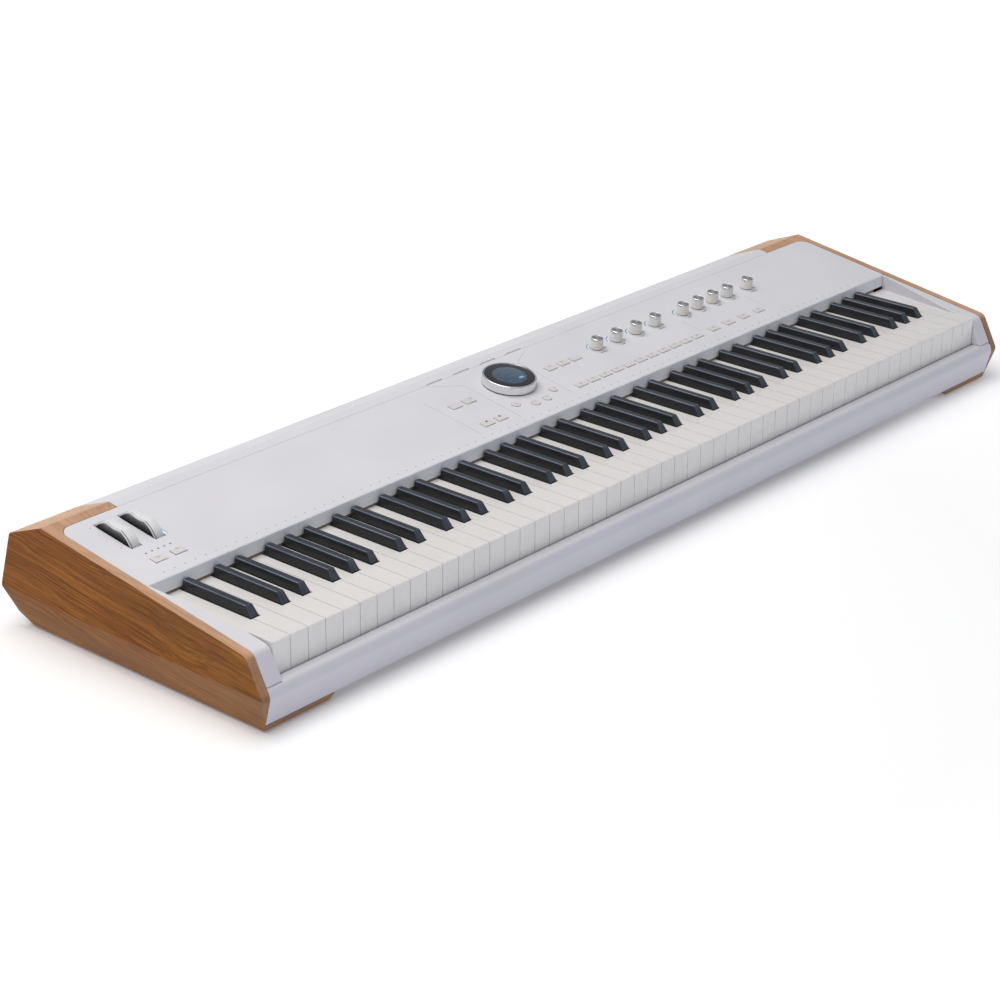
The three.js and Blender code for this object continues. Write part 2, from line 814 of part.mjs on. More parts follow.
function makeWheelBracket() {
  const [pitch, modulation] = wheelCentres;
  const foot = -wheelDrop - wheelHubRadius + seat;
  const wheelSpace = wheelWidth / 2 + wheelSlotClearance + seat;
  const between = (pitch + modulation) / 2;
  const starts = [pitch - wheelSpace - bracketWall, between - bracketWall / 2, modulation + wheelSpace];
  const outline = [
    [wheelMiddle - bracketTopLength / 2, carrierTop],
    [wheelMiddle + bracketTopLength / 2, carrierTop],
    [wheelMiddle + bracketFootLength / 2, foot],
    [wheelMiddle - bracketFootLength / 2, foot],
  ];
  const walls = starts.map((x) => alongX(outline, x, x + bracketWall));
  const axleEnd = starts[2] + bracketWall;
  const axle = rodAlongX(wheelMiddle, -wheelDrop, axleRadius, starts[0], axleEnd, axleSides);
  addPiece("wheel_bracket", join([axle, ...walls]), finishes.steel, deck);
}

function makeWheels() {
  wheelCentres.forEach((x, index) => makeWheel(wheelNames[index], x));
  makeWheelBracket();
}

// Rear cover: the deck behind the panel and the slope behind it, with the four music rest slots
function coverOutline() {
  const start = panelRear + groove;
  const across = new THREE.Vector2(crease[1] - slopeEnd[1], slopeEnd[0] - crease[0]).normalize();
  const innerSlopeEnd = slopeEnd[1] - across.y * coverWall;
  const skirt = [slopeEnd[0], blockUnderside];
  return [
    deckPoint(start, 0),
    ...roundedCorner(deckPoint(start, 0), crease, slopeEnd, creaseRadius, edgeSteps),
    ...roundedCorner(crease, slopeEnd, skirt, slopeEndRadius, edgeSteps),
    skirt,
    [slopeEnd[0] - coverWall, blockUnderside],
    [slopeEnd[0] - coverWall, innerSlopeEnd],
    deckPoint(creaseRun, -coverWall),
    deckPoint(start + coverWall, -coverWall),
    deckPoint(start + coverWall, carrierTop - coverWall),
    deckPoint(start, carrierTop - coverWall),
  ];
}

// The ledge in front of the cover that reaches under the panel
function coverLedgeOutline() {
  const start = panelRear + groove;
  return [
    deckPoint(start + coverWall, carrierTop),
    deckPoint(start + coverWall, carrierTop - coverWall),
    deckPoint(start - coverLedge, carrierTop - coverWall),
    deckPoint(start - coverLedge, carrierTop),
  ];
}

function musicSlots() {
  const start = panelRear + groove;
  const middle = (musicSlotCount - 1) / 2;
  const slots = [];
  for (let i = 0; i < musicSlotCount; i += 1) {
    const x = encoderX + musicSlotPitch * (i - middle);
    const half = musicSlotWidth / 2;
    const floor = carrierTop + seat;
    slots.push(onDeck(box(x - half, x + half, start - overrun, start + musicSlotDepth, floor, overrun)));
  }
  return slots;
}

function makeRearCover() {
  const half = coverEnd - seat;
  const ledgeHalf = half - coverLedgeInset;
  const skin = cut(alongX(coverOutline(), -half, half), musicSlots());
  addPiece("rear_cover", join([skin, alongX(coverLedgeOutline(), -ledgeHalf, ledgeHalf)]), finishes.white);
}

function makeFelt() {
  const top = keyTop + fallboardLift - seat;
  const start = fallboard + feltSetback;
  const strip = box(-blockInner, blockInner, start, start + feltDepth, top - feltThickness, top);
  addPiece("key_felt", strip, finishes.felt);
}

// Steel tray that closes the underside, with a flange front and back
function makeTray() {
  const start = railEnd + seat;
  const end = rearPlateFace - rearPlateWall - seat;
  const floor = housingFloor + trayWall;
  const top = housingFloor + trayFlange;
  const outline = [
    [start, housingFloor],
    [end, housingFloor],
    [end, top],
    [end - trayWall, top],
    [end - trayWall, floor],
    [start + trayWall, floor],
    [start + trayWall, top],
    [start, top],
  ];
  addPiece("bottom_tray", alongX(outline, -housingHalf, housingHalf), finishes.steel);
}

// Folded keyboard frame: a stop rail under the key fronts and a ledge under the hinge rails
function makeKeyFrame() {
  const floor = housingFloor + trayWall + seat;
  const start = keyFront + frameFront;
  const stop = keyTop - keyBodyHeight - keyDip - stopRailClearance;
  const rails = combLevels * hingeRailHeight + (combLevels - 1) * hingeRailGap;
  const ledge = keyTop - topRailDrop - rails - hingeLedgeClearance;
  const ledgeStart = pivotY - hingeLedgeDepth / 2;
  const end = ledgeStart + hingeLedgeDepth;
  const outline = [
    [start, floor],
    [end, floor],
    [end, ledge],
    [ledgeStart, ledge],
    [ledgeStart, ledge - frameWall],
    [end - frameWall, ledge - frameWall],
    [end - frameWall, floor + frameWall],
    [start + frameWall, floor + frameWall],
    [start + frameWall, stop - frameWall],
    [start + stopRailDepth, stop - frameWall],
    [start + stopRailDepth, stop],
    [start, stop],
  ];
  const half = keyboardHalf - frameSideInset;
  addPiece("key_frame", alongX(outline, -half, half), finishes.steel);
}

// Rear plate with its window for the connector block and the hole for the power button
const powerButtonX = housingHalf - powerButtonInset;
const connectorRight = powerButtonX - powerButtonOffset;
const firstSocket = connectorRight - socketEndMargin - socketPitch * (sockets.length - 1);
const connectorLeft = firstSocket - socketEndMargin;
const connectorCentre = base + connectorCentreHeight;

function makeRearPlate() {
  const inner = rearPlateFace - rearPlateWall;
  const top = blockUnderside - seat;
  const plate = box(-housingHalf, housingHalf, inner, rearPlateFace, housingFloor, top);
  const half = connectorHeight / 2 + seat;
  const from = inner - overrun;
  const to = rearPlateFace + overrun;
  const left = connectorLeft - seat;
  const right = connectorRight + seat;
  const window = box(left, right, from, to, connectorCentre - half, connectorCentre + half);
  const radius = powerButtonRadius + seat;
  const hole = rodAlongY(powerButtonX, connectorCentre, radius, from, to, socketSides);
  addPiece("rear_plate", cut(plate, [window, hole]), finishes.white);
}

function socketBore(socket, index) {
  const x = firstSocket + socketPitch * index;
  const floor = rearPlateFace - connectorDepth + socketFloor;
  const mouth = rearPlateFace + overrun;
  if (socket.radius) {
    return rodAlongY(x, connectorCentre, socket.radius, floor, mouth, socketSides);
  }
  const halfWidth = socket.width / 2;
  const halfHeight = socket.height / 2;
  return box(
    x - halfWidth, x + halfWidth, floor, mouth,
    connectorCentre - halfHeight, connectorCentre + halfHeight,
  );
}

function makeConnectorBlock() {
  const back = rearPlateFace - connectorDepth;
  const half = connectorHeight / 2;
  const body = box(
    connectorLeft, connectorRight, back, rearPlateFace, connectorCentre - half, connectorCentre + half,
  );
  addPiece("connector_block", cut(body, sockets.map(socketBore)), finishes.darkPlastic);
}

function makePowerButton() {
  const tip = rearPlateFace + powerButtonProud;
  const foot = tip - powerButtonLength;
  const button = rodAlongY(powerButtonX, connectorCentre, powerButtonRadius, foot, tip, socketSides);
  addPiece("power_button", button, finishes.darkPlastic);
}

// Keys. White key 0 is the lowest A; a boundary number counts the white keys to its left.
const keyHeadEnd = keyFront + sharpStart - sharpFrontClearance;
const keyBodyEnd = pivotY - hingeRailDepth / 2 - tongueLength / 2;

function boundaryX(number) {
  return -keyboardHalf + keyPitch * number;
}

// How far the black key on a boundary lies from that boundary, or null where there is none
function sharpOffset(boundary) {
  const fromC = (boundary - whitesBelowFirstC + whitesPerOctave) % whitesPerOctave;
  const isOutside = boundary < 1 || boundary > whiteKeys - 2;
  const offsets = [null, -pairSharpOffset, pairSharpOffset, null, -outerSharpOffset, 0, outerSharpOffset];
  return isOutside ? null : offsets[fromC];
}

function sharpX(boundary) {
  return boundaryX(boundary) + sharpOffset(boundary);
}

// Where a white key's tail ends beside a boundary: side 1 is to its right, side -1 to its left
function tailEdge(boundary, side) {
  if (sharpOffset(boundary) === null) {
    return boundaryX(boundary) + (side * keyGap) / 2;
  }
  return sharpX(boundary) + side * (sharpBottomWidth / 2 + keyGap);
}

function tailOf(index) {
  return [tailEdge(index, 1), tailEdge(index + 1, -1)];
}

function tailMiddle(index) {
  const [left, right] = tailOf(index);
  return (left + right) / 2;
}

function railTop(level) {
  return keyTop - topRailDrop - level * (hingeRailHeight + hingeRailGap);
}

// The thin tongue behind a key that joins it to the hinge rail of its comb
function tongue(x, level) {
  const top = railTop(level);
  const from = keyBodyEnd - keyWall / 2;
  const to = pivotY - hingeRailDepth / 2 + keyWall;
  return box(x - tongueWidth / 2, x + tongueWidth / 2, from, to, top - hingeRailHeight, top);
}

function hingeRail(xs, level) {
  const left = Math.min(...xs) - tongueWidth / 2;
  const right = Math.max(...xs) + tongueWidth / 2;
  const top = railTop(level);
  const half = hingeRailDepth / 2;
  return box(left, right, pivotY - half, pivotY + half, top - hingeRailHeight, top);
}

// The wide head of a white key, with its front face hanging lower than its body
function whiteHead(x0, x1) {
  const low = keyTop - whiteFrontHeight;
  const body = keyTop - keyBodyHeight;
  const headEnd = [keyHeadEnd, keyTop];
  const outline = [
    [keyFront, low],
    ...roundedCorner([keyFront, low], [keyFront, keyTop], headEnd, keyEdgeRadius, keyEdgeSteps),
    headEnd,
    [keyHeadEnd, body],
    [keyFront + keyFrontWall, body],
    [keyFront + keyFrontWall, low],
  ];
  return alongX(outline, x0, x1);
}

// A white key is an open shell: a wide head, a tail between the black keys and a hollow underside
function whiteKey(index, level) {
  const body = keyTop - keyBodyHeight;
  const roof = keyTop - keyTopWall;
  const floor = body - overrun;
  const left = boundaryX(index) + keyGap / 2;
  const right = boundaryX(index + 1) - keyGap / 2;
  const [tailLeft, tailRight] = tailOf(index);
  const neck = keyHeadEnd - keyWall;
  const outer = [whiteHead(left, right), box(tailLeft, tailRight, neck, keyBodyEnd, body, keyTop)];
  const hollow = [
    box(left + keyWall, right - keyWall, keyFront + keyFrontWall, neck, floor, roof),
    box(tailLeft + keyWall, tailRight - keyWall, neck - keyWall, keyBodyEnd - keyWall, floor, roof),
  ];
  return join([cut(join(outer), hollow), tongue(tailMiddle(index), level)]);
}

// The raised cap of a black key: a tapered bar with a sloping nose and broken top edges
function sharpCap(x) {
  const start = keyFront + sharpStart;
  const bottom = sharpBottomWidth / 2;
  const shoulder = sharpTopWidth / 2;
  const flat = shoulder - sharpEdge;
  const top = keyTop + sharpHeight;
  const section = [
    [x - bottom, keyTop - keyTopWall],
    [x + bottom, keyTop - keyTopWall],
    [x + bottom, keyTop],
    [x + shoulder, top - sharpEdge],
    [x + flat, top],
    [x - flat, top],
    [x - shoulder, top - sharpEdge],
    [x - bottom, keyTop],
  ];
  const nose = [
    [start, keyTop],
    [start + sharpNoseSlope, top],
    [start + sharpNoseSlope, top + overrun],
    [start - overrun, top + overrun],
    [start - overrun, keyTop],
  ];
  const bar = alongY(section, start, fallboard - sharpEndClearance);
  return cut(bar, [alongX(nose, x - sharpBottomWidth, x + sharpBottomWidth)]);
}

function blackKey(boundary, level) {
  const x = sharpX(boundary);
  const half = sharpBottomWidth / 2;
  const inside = half - keyWall;
  const start = keyFront + sharpStart;
  const body = keyTop - sharpBodyDepth;
  const roof = keyTop - keyTopWall;
  const hollowEnd = keyBodyEnd - keyWall;
  const shell = box(x - half, x + half, start, keyBodyEnd, body, keyTop);
  const hollow = box(x - inside, x + inside, start + keyWall, hollowEnd, body - overrun, roof);
  return join([cut(shell, [hollow]), sharpCap(x), tongue(x, level)]);
}

function whiteComb(name, indices, level) {
  const keys = indices.map((index) => whiteKey(index, level));
  addPiece(name, join([hingeRail(indices.map(tailMiddle), level), ...keys]), finishes.whiteKey);
}

function blackComb(name, boundaries, level) {
  const keys = boundaries.map((boundary) => blackKey(boundary, level));
  addPiece(name, join([hingeRail(boundaries.map(sharpX), level), ...keys]), finishes.blackKey);
}

// Three combs to the octave: C, E, G and B; D, F and A; and the black keys. The lowest octave's
// combs also carry the keys below its C, and the highest octave's the last C.
function makeKeys() {
  for (let octave = 1; octave <= octaves; octave += 1) {
    const c = whitesBelowFirstC + whitesPerOctave * (octave - 1);
    const outer = [0, 2, 4, 6].map((note) => c + note);
    const inner = [1, 3, 5].map((note) => c + note);
    const sharps = [1, 2, 4, 5, 6].map((boundary) => c + boundary);
    if (octave === 1) {
      inner.unshift(0);
      outer.unshift(1);
      sharps.unshift(1);
    }
    if (octave === octaves) {
      inner.push(whiteKeys - 1);
    }
    whiteComb(`c_e_g_b_keys_${octave}`, outer, 0);
    whiteComb(`d_f_a_keys_${octave}`, inner, 1);
    blackComb(`black_keys_${octave}`, sharps, 2);
  }
}

makeCheeks();
makeFeet();
makeKeyBlocks();
makeFrontRail();
makeTray();
makeKeyFrame();
makeRearPlate();
makeConnectorBlock();
makePowerButton();
makeTopPanel();
makeRearCover();
makeFelt();
makeEncoder();
makeControlBoard();
makeKnobs();
buttonGroups.forEach(makeButtonGroup);
makeMenuButtons();
makeWheels();
makeKeys();

export default piano;
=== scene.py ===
import json
import math

import bmesh
import bpy
from mathutils import Matrix, Vector

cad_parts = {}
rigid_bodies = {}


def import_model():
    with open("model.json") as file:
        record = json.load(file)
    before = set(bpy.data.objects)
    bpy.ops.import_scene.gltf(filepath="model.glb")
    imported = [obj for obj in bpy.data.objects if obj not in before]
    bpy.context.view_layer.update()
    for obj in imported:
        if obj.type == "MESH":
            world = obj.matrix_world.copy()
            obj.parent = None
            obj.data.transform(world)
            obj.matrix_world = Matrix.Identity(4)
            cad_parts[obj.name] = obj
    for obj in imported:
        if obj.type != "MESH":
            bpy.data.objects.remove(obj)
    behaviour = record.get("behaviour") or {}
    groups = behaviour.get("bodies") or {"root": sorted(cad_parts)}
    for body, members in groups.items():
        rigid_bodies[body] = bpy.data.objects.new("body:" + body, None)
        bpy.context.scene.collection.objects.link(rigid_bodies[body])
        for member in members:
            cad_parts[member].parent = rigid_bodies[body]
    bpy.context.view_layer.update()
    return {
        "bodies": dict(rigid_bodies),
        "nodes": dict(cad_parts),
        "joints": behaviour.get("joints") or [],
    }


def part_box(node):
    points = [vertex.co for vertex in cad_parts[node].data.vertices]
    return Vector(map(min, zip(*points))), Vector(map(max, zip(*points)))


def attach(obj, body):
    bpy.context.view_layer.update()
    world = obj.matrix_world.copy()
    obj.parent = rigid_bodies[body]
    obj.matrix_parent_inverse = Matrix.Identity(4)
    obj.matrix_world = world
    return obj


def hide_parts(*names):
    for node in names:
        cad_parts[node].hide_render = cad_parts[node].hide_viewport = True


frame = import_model()

MM = 0.001
JOINTS = {joint["name"]: joint for joint in frame["joints"]}


# The deck's frame

def deck_frame():
    """The matrix from deck coordinates in millimetres to the frame in metres."""
    joint = JOINTS["display_ring_turn"]
    normal = Vector(joint["axis"]).normalized()
    upslope = Vector((0, normal.z, -normal.y))
    top = max(vertex.co.dot(normal) for vertex in frame["nodes"]["top_panel"].data.vertices)
    origin = Vector(joint["pos_m"])
    origin += normal * (top - origin.dot(normal))
    turn = Matrix((Vector((1, 0, 0)), upslope, normal)).transposed().to_4x4()
    return Matrix.Translation(origin) @ turn @ Matrix.Scale(MM, 4)


DECK = deck_frame()
ON_DECK = DECK.inverted()
X_AT_DISPLAY = DECK.translation.x / MM


def deck_place(joint_name):
    """A joint's place in deck coordinates, on the panel."""
    place = ON_DECK @ Vector(JOINTS[joint_name]["pos_m"])
    return Vector((place.x, place.y, 0))


# Materials

# Where the values of a noise texture mostly lie.
NOISE_LOW, NOISE_HIGH = 0.3, 0.7
# The second and the third part of a vector.
Y, Z = 1, 2


class Paint:
    """A node material on a Principled shader, with short ways to add its procedural detail."""

    def __init__(self, name, **sockets):
        self.material = bpy.data.materials.new(name)
        self.material.use_nodes = True
        self.tree = self.material.node_tree
        self.shader = self.tree.nodes["Principled BSDF"]
        for socket, value in sockets.items():
            self.shader.inputs[socket.replace("_", " ")].default_value = value
        self.place = self.node("ShaderNodeTexCoord").outputs["Object"]

    def node(self, kind, **settings):
        made = self.tree.nodes.new(kind)
        for key, value in settings.items():
            setattr(made, key, value)
        return made

    def feed(self, socket, value):
        """Links an input to a socket, or sets it to a value."""
        if isinstance(value, bpy.types.NodeSocket):
            self.tree.links.new(value, socket)
        else:
            socket.default_value = value

    def fill(self, node, **inputs):
        """Links or sets a node's inputs by their names."""
        for name, value in inputs.items():
            self.feed(node.inputs[name], value)

    def stretched(self, scale, vector=None):
        """A place, the surface's own unless given, scaled along each axis."""
        made = self.node("ShaderNodeVectorMath", operation="MULTIPLY")
        self.feed(made.inputs[0], vector or self.place)
        made.inputs[1].default_value = scale
        return made.outputs[0]

    def noise(self, scale, vector=None, detail=2.0, roughness=0.5, distortion=0.0):
        """Soft noise with so many spots to the metre along each axis."""
        made = self.node("ShaderNodeTexNoise")
        self.fill(made, Vector=self.stretched(scale, vector), Scale=1, Detail=detail,
                  Roughness=roughness, Distortion=distortion)
        return made.outputs[0]

    def even_noise(self, spots, **settings):
        """Noise that is as fine along every axis."""
        return self.noise((spots, spots, spots), **settings)

    def sums(self, operation, first, second=0.0, third=0.0):
        """One step of arithmetic."""
        made = self.node("ShaderNodeMath", operation=operation)
        for socket, value in zip(made.inputs, (first, second, third)):
            self.feed(socket, value)
        return made.outputs[0]

    def times(self, first, *others):
        for other in others:
            first = self.sums("MULTIPLY", first, other)
        return first

    def span(self, value, low, high, start=0.0, end=1.0):
        """Carries the values from low to high over to those from start to end."""
        made = self.node("ShaderNodeMapRange", clamp=True)
        for socket, given in zip(made.inputs[:5], (value, low, high, start, end)):
            self.feed(socket, given)
        return made.outputs[0]

    def swing(self, noise, start=0.0, end=1.0):
        """A noise's usual range carried over to the values from start to end."""
        return self.span(noise, NOISE_LOW, NOISE_HIGH, start, end)

    def ramp(self, value, stops):
        """A colour by value, between stops of (value, colour)."""
        made = self.node("ShaderNodeValToRGB")
        elements = made.color_ramp.elements
        while len(elements) < len(stops):
            elements.new(0.5)
        for element, (place, colour) in zip(elements, stops):
            element.position = place
            element.color = (*colour, 1)
        self.feed(made.inputs[0], value)
        return made.outputs[0]

    def mix(self, share, first, second, blend="MIX"):
        """The first colour with a share of the second."""
        made = self.node("ShaderNodeMix", data_type="RGBA", blend_type=blend)
        self.feed(made.inputs[0], share)
        for socket, value in ((made.inputs[6], first), (made.inputs[7], second)):
            self.feed(socket, (*value, 1) if isinstance(value, tuple) else value)
        return made.outputs[2]

    def shaded(self, colour, shade):
        """A colour made lighter or darker by a factor."""
        return self.mix(1.0, colour, shade, "MULTIPLY")

    def axes(self, vector):
        split = self.node("ShaderNodeSeparateXYZ")
        self.feed(split.inputs[0], vector)
        return split.outputs

    def facing(self, axis, low, high):
        """How far the surface faces along an axis of the object's surroundings, from 0 to 1."""
        normal = self.node("ShaderNodeNewGeometry").outputs["Normal"]
        return self.span(self.axes(normal)[axis], low, high)

    def colour(self, value, shade=None):
        """Gives the surface its colour, with a shade where there is one."""
        self.feed(self.shader.inputs["Base Color"], self.shaded(value, shade) if shade else value)

    def rough(self, value):
        self.feed(self.shader.inputs["Roughness"], value)

    def relief(self, height, distance, strength):
        """Adds a fine relief over what is there."""
        made = self.node("ShaderNodeBump")
        self.fill(made, Strength=strength, Distance=distance, Height=height)
        normal = self.shader.inputs["Normal"]
        for link in normal.links:
            self.feed(made.inputs["Normal"], link.from_socket)
        self.feed(normal, made.outputs[0])

    def specular(self, level):
        self.shader.inputs["Specular IOR Level"].default_value = level

    def glow(self, colour, strength):
        self.feed(self.shader.inputs["Emission Color"], colour)
        self.feed(self.shader.inputs["Emission Strength"], strength)


def darker(colour, factor):
    """A colour times a factor."""
    return tuple(part * factor for part in colour)


# Across a ring of the wood: early wood, late wood and back.
RING_TONES = (
    (0.0, (0.292, 0.094, 0.0090)), (0.38, (0.318, 0.108, 0.0120)), (0.68, (0.250, 0.074, 0.0064)),
    (0.84, (0.206, 0.057, 0.0045)), (0.92, (0.250, 0.076, 0.0066)), (1.0, (0.292, 0.094, 0.0090)),
)
GOLDEN_WOOD = (0.375, 0.152, 0.027)
# Painted light: a greyer tone for undersides, a paler one for fronts, and painted sheen on tops,
# paler still where they lean back.
WOOD_PAINTED_LIGHT_BELOW = (0.335, 0.212, 0.125)
WOOD_PAINTED_LIGHT_IN_FRONT = (0.345, 0.240, 0.170)
WOOD_PAINTED_SHEEN_ON_TOP = (0.520, 0.305, 0.190)
WOOD_PAINTED_SHEEN_LEANING_BACK = (0.70, 0.46, 0.29)


def wood_grain(paint):
    """Where a place lies in a bent log: a warped place, and its share of the way through a ring."""
    across, along, up = paint.axes(paint.place)
    drift = paint.noise((5, 3.6, 7), detail=2)
    sway = paint.noise((24, 11, 30), detail=2)
    bend = paint.sums("ADD", paint.times(drift, 0.05), paint.times(sway, 0.007))
    height = paint.sums("ADD", paint.sums("MULTIPLY_ADD", along, -0.10, up), bend)
    depth = paint.sums("MULTIPLY_ADD", bend, 0.6, across)
    level = paint.node("ShaderNodeCombineXYZ")
    for socket, value in zip(level.inputs, (depth, along, height)):
        paint.feed(socket, value)
    warped = level.outputs[0]
    flow = paint.noise((26, 2.0, 30), warped, detail=1.5)
    climb = paint.sums("ADD", paint.times(height, 175), paint.times(depth, 120))
    return warped, paint.sums("FRACT", paint.sums("MULTIPLY_ADD", flow, 9, climb))


def wood():
    """Varnished flat-sawn wood, with fine wavy grain from front to back, pores, darker figure and
    golden streaks. Its tops are paler with painted sheen, more so where they lean back; its
    fronts are paler and its undersides greyer with painted light."""
    paint = Paint("wood", Coat_Weight=0.03, Coat_Roughness=0.3)
    paint.specular(0.12)
    warped, rings = wood_grain(paint)
    lines = paint.noise((700, 7, 700), warped, detail=4, roughness=0.7)
    pores = paint.noise((1500, 30, 1500), warped, detail=2, roughness=0.7)
    figure = paint.noise((30, 5.0, 42), warped, detail=3, roughness=0.6)
    broad = paint.noise((5, 2.2, 11), warped, detail=2)
    shade = paint.times(
        paint.span(lines, 0.40, 0.58, 0.64, 1.14), paint.span(pores, 0.36, 0.66, 0.80, 1.08),
        paint.span(figure, 0.34, 0.6, 0.66, 1.16), paint.span(broad, 0.38, 0.60, 0.80, 1.18),
    )
    golden = paint.span(paint.noise((3, 1.3, 24), warped, detail=1.5), 0.50, 0.62, 0.0, 0.55)
    wear_and_painted_light = paint.shaded(paint.mix(golden, paint.ramp(rings, RING_TONES), GOLDEN_WOOD), shade)
    # Painted light: undersides greyer and fronts paler.
    wear_and_painted_light = paint.mix(paint.times(paint.facing(Z, -0.02, -0.30), 0.42), wear_and_painted_light, WOOD_PAINTED_LIGHT_BELOW)
    wear_and_painted_light = paint.mix(paint.times(paint.facing(Y, -0.40, -0.80), 0.40), wear_and_painted_light, WOOD_PAINTED_LIGHT_IN_FRONT)
    soft = paint.times(
        paint.span(shade, 0.4, 1.2, 0.82, 1.12), paint.span(rings, 0.6, 0.84, 1.03, 0.90)
    )
    # Painted sheen: tops paler, more so where they lean back.
    behind = paint.times(paint.facing(Y, 0.12, 0.30), 0.5)
    pale = paint.shaded(paint.mix(behind, WOOD_PAINTED_SHEEN_ON_TOP, WOOD_PAINTED_SHEEN_LEANING_BACK), soft)
    paint.colour(paint.mix(paint.facing(Z, 0.30, 0.85), wear_and_painted_light, pale))
    paint.rough(paint.swing(lines, 0.42, 0.56))
    paint.relief(lines, 0.00005, 0.4)
    paint.relief(pores, 0.00005, 0.6)
    return paint.material


def moulded(name, colour, roughness, grain=0.00003, variation=0.03, painted_front_light=None, **sockets):
    """Moulded plastic: a fine spark-eroded texture, faint flow marks and handled patches. Faces
    towards the front may get a tone of their own: painted light where it is lighter, painted
    shade where it is darker."""
    paint = Paint(name, **sockets)
    shade = paint.swing(paint.even_noise(9, detail=4), 1 - variation, 1 + variation)
    # Painted light and shade: faces towards the front get the tone given for them.
    tone = paint.mix(paint.facing(Y, -0.45, -0.88), colour, painted_front_light) if painted_front_light else colour
    paint.colour(tone, shade)
    speckle = paint.even_noise(2600, detail=1.5)
    handled = paint.even_noise(34, detail=5, roughness=0.6)
    wear_and_painted_light = paint.span(handled, 0.35, 0.65, roughness - 0.05, roughness + 0.06)
    paint.rough(paint.sums("ADD", wear_and_painted_light, paint.swing(speckle, -0.03, 0.03)))
    paint.relief(speckle, grain, 0.5)
    return paint.material


def metal(name, colour, roughness, scale):
    """Metal with drawn or rolled streaks along the directions of small scale."""
    paint = Paint(name, Metallic=1.0)
    streaks = paint.noise(scale, detail=4, roughness=0.6)
    clouds = paint.even_noise(14, detail=3)
    shade = paint.times(paint.swing(streaks, 0.9, 1.06), paint.swing(clouds, 0.95, 1.03))
    paint.colour(colour, shade)
    paint.rough(paint.swing(streaks, roughness - 0.06, roughness + 0.08))
    paint.relief(streaks, 0.00002, 0.4)
    return paint.material


# A black key's colour by how far it faces up: flanks, nose, edges and top. The flanks are a
# little darker with painted shade, the nose bluish with painted sheen, the edges light with a
# painted highlight.
EBONY_PAINTED_LIGHT_BY_RISE = (
    (0.0, (0.025, 0.024, 0.026)), (0.22, (0.025, 0.025, 0.029)), (0.32, (0.029, 0.034, 0.047)),
    (0.58, (0.038, 0.046, 0.063)), (0.66, (0.170, 0.197, 0.243)), (0.86, (0.145, 0.168, 0.210)),
    (0.955, (0.028, 0.033, 0.046)),
)


def ebony():
    """Black keys' plastic: polished tops, a painted highlight along the edges, painted sheen on
    the nose, and flanks a little darker with painted shade.
    """
    paint = Paint("black_key", Coat_Weight=0.12, Coat_Roughness=0.12)
    paint.specular(0.22)
    clouds = paint.noise((120, 26, 120), detail=4)
    grain = paint.noise((2400, 300, 2400), detail=2)
    shade = paint.times(paint.swing(clouds, 0.75, 1.25), paint.swing(grain, 0.9, 1.1))
    # Painted light: the tone by how far the key faces up paints the edges' highlight and the nose's
    # sheen.
    tone = paint.ramp(paint.facing(Z, 0.0, 1.0), EBONY_PAINTED_LIGHT_BY_RISE)
    paint.colour(tone, shade)
    paint.rough(paint.swing(clouds, 0.30, 0.42))
    paint.relief(grain, 0.00002, 0.5)
    return paint.material


def felt():
    """Pressed wool felt with loose fibres."""
    paint = Paint("felt", Roughness=0.95, Sheen_Weight=0.4, Sheen_Roughness=0.5)
    fibres = paint.even_noise(1400, detail=5, roughness=0.75, distortion=1.5)
    clumps = paint.even_noise(160, detail=3)
    shade = paint.times(paint.swing(fibres, 0.6, 1.25), paint.swing(clumps, 0.85, 1.1))
    paint.colour((0.30, 0.195, 0.13), shade)
    paint.relief(fibres, 0.0002, 0.8)
    return paint.material


def rubber():
    """Dull rubber with a fine skin."""
    paint = Paint("foot_rubber", Roughness=0.85)
    skin = paint.even_noise(1800, detail=3)
    dust = paint.even_noise(60, detail=4)
    paint.colour(paint.ramp(dust, ((0.35, (0.012, 0.012, 0.013)), (0.7, (0.035, 0.034, 0.033)))))
    paint.relief(skin, 0.00006, 0.6)
    return paint.material


def circuit():
    """A green board with tinned tracks."""
    paint = Paint("circuit_board", Roughness=0.4)
    cells = paint.node("ShaderNodeTexVoronoi", feature="DISTANCE_TO_EDGE")
    paint.fill(cells, Vector=paint.stretched((180, 180, 1)), Scale=1)
    tracks = paint.span(cells.outputs[0], 0.05, 0.09)
    paint.colour(paint.mix(tracks, (0.05, 0.16, 0.07), (0.012, 0.075, 0.03)))
    paint.relief(tracks, 0.00005, 0.5)
    return paint.material


def glass(name, colour, roughness, emission=None, strength=0.0, coat=0.4):
    """A dark glossy window with faint wipe marks, lit from inside where it has an emission."""
    paint = Paint(name, IOR=1.5, Coat_Weight=coat, Coat_Roughness=0.03)
    wiped = paint.even_noise(60, detail=4, distortion=2)
    smeared = tuple(part * 1.6 + 0.003 for part in colour)
    paint.colour(paint.mix(paint.span(wiped, 0.4, 0.7, 0.0, 0.25), colour, smeared))
    paint.rough(paint.span(wiped, 0.35, 0.7, roughness, roughness + 0.07))
    if emission:
        patches = paint.even_noise(70, detail=3)
        paint.glow(paint.mix(patches, emission, darker(emission, 0.6)), strength)
    return paint.material


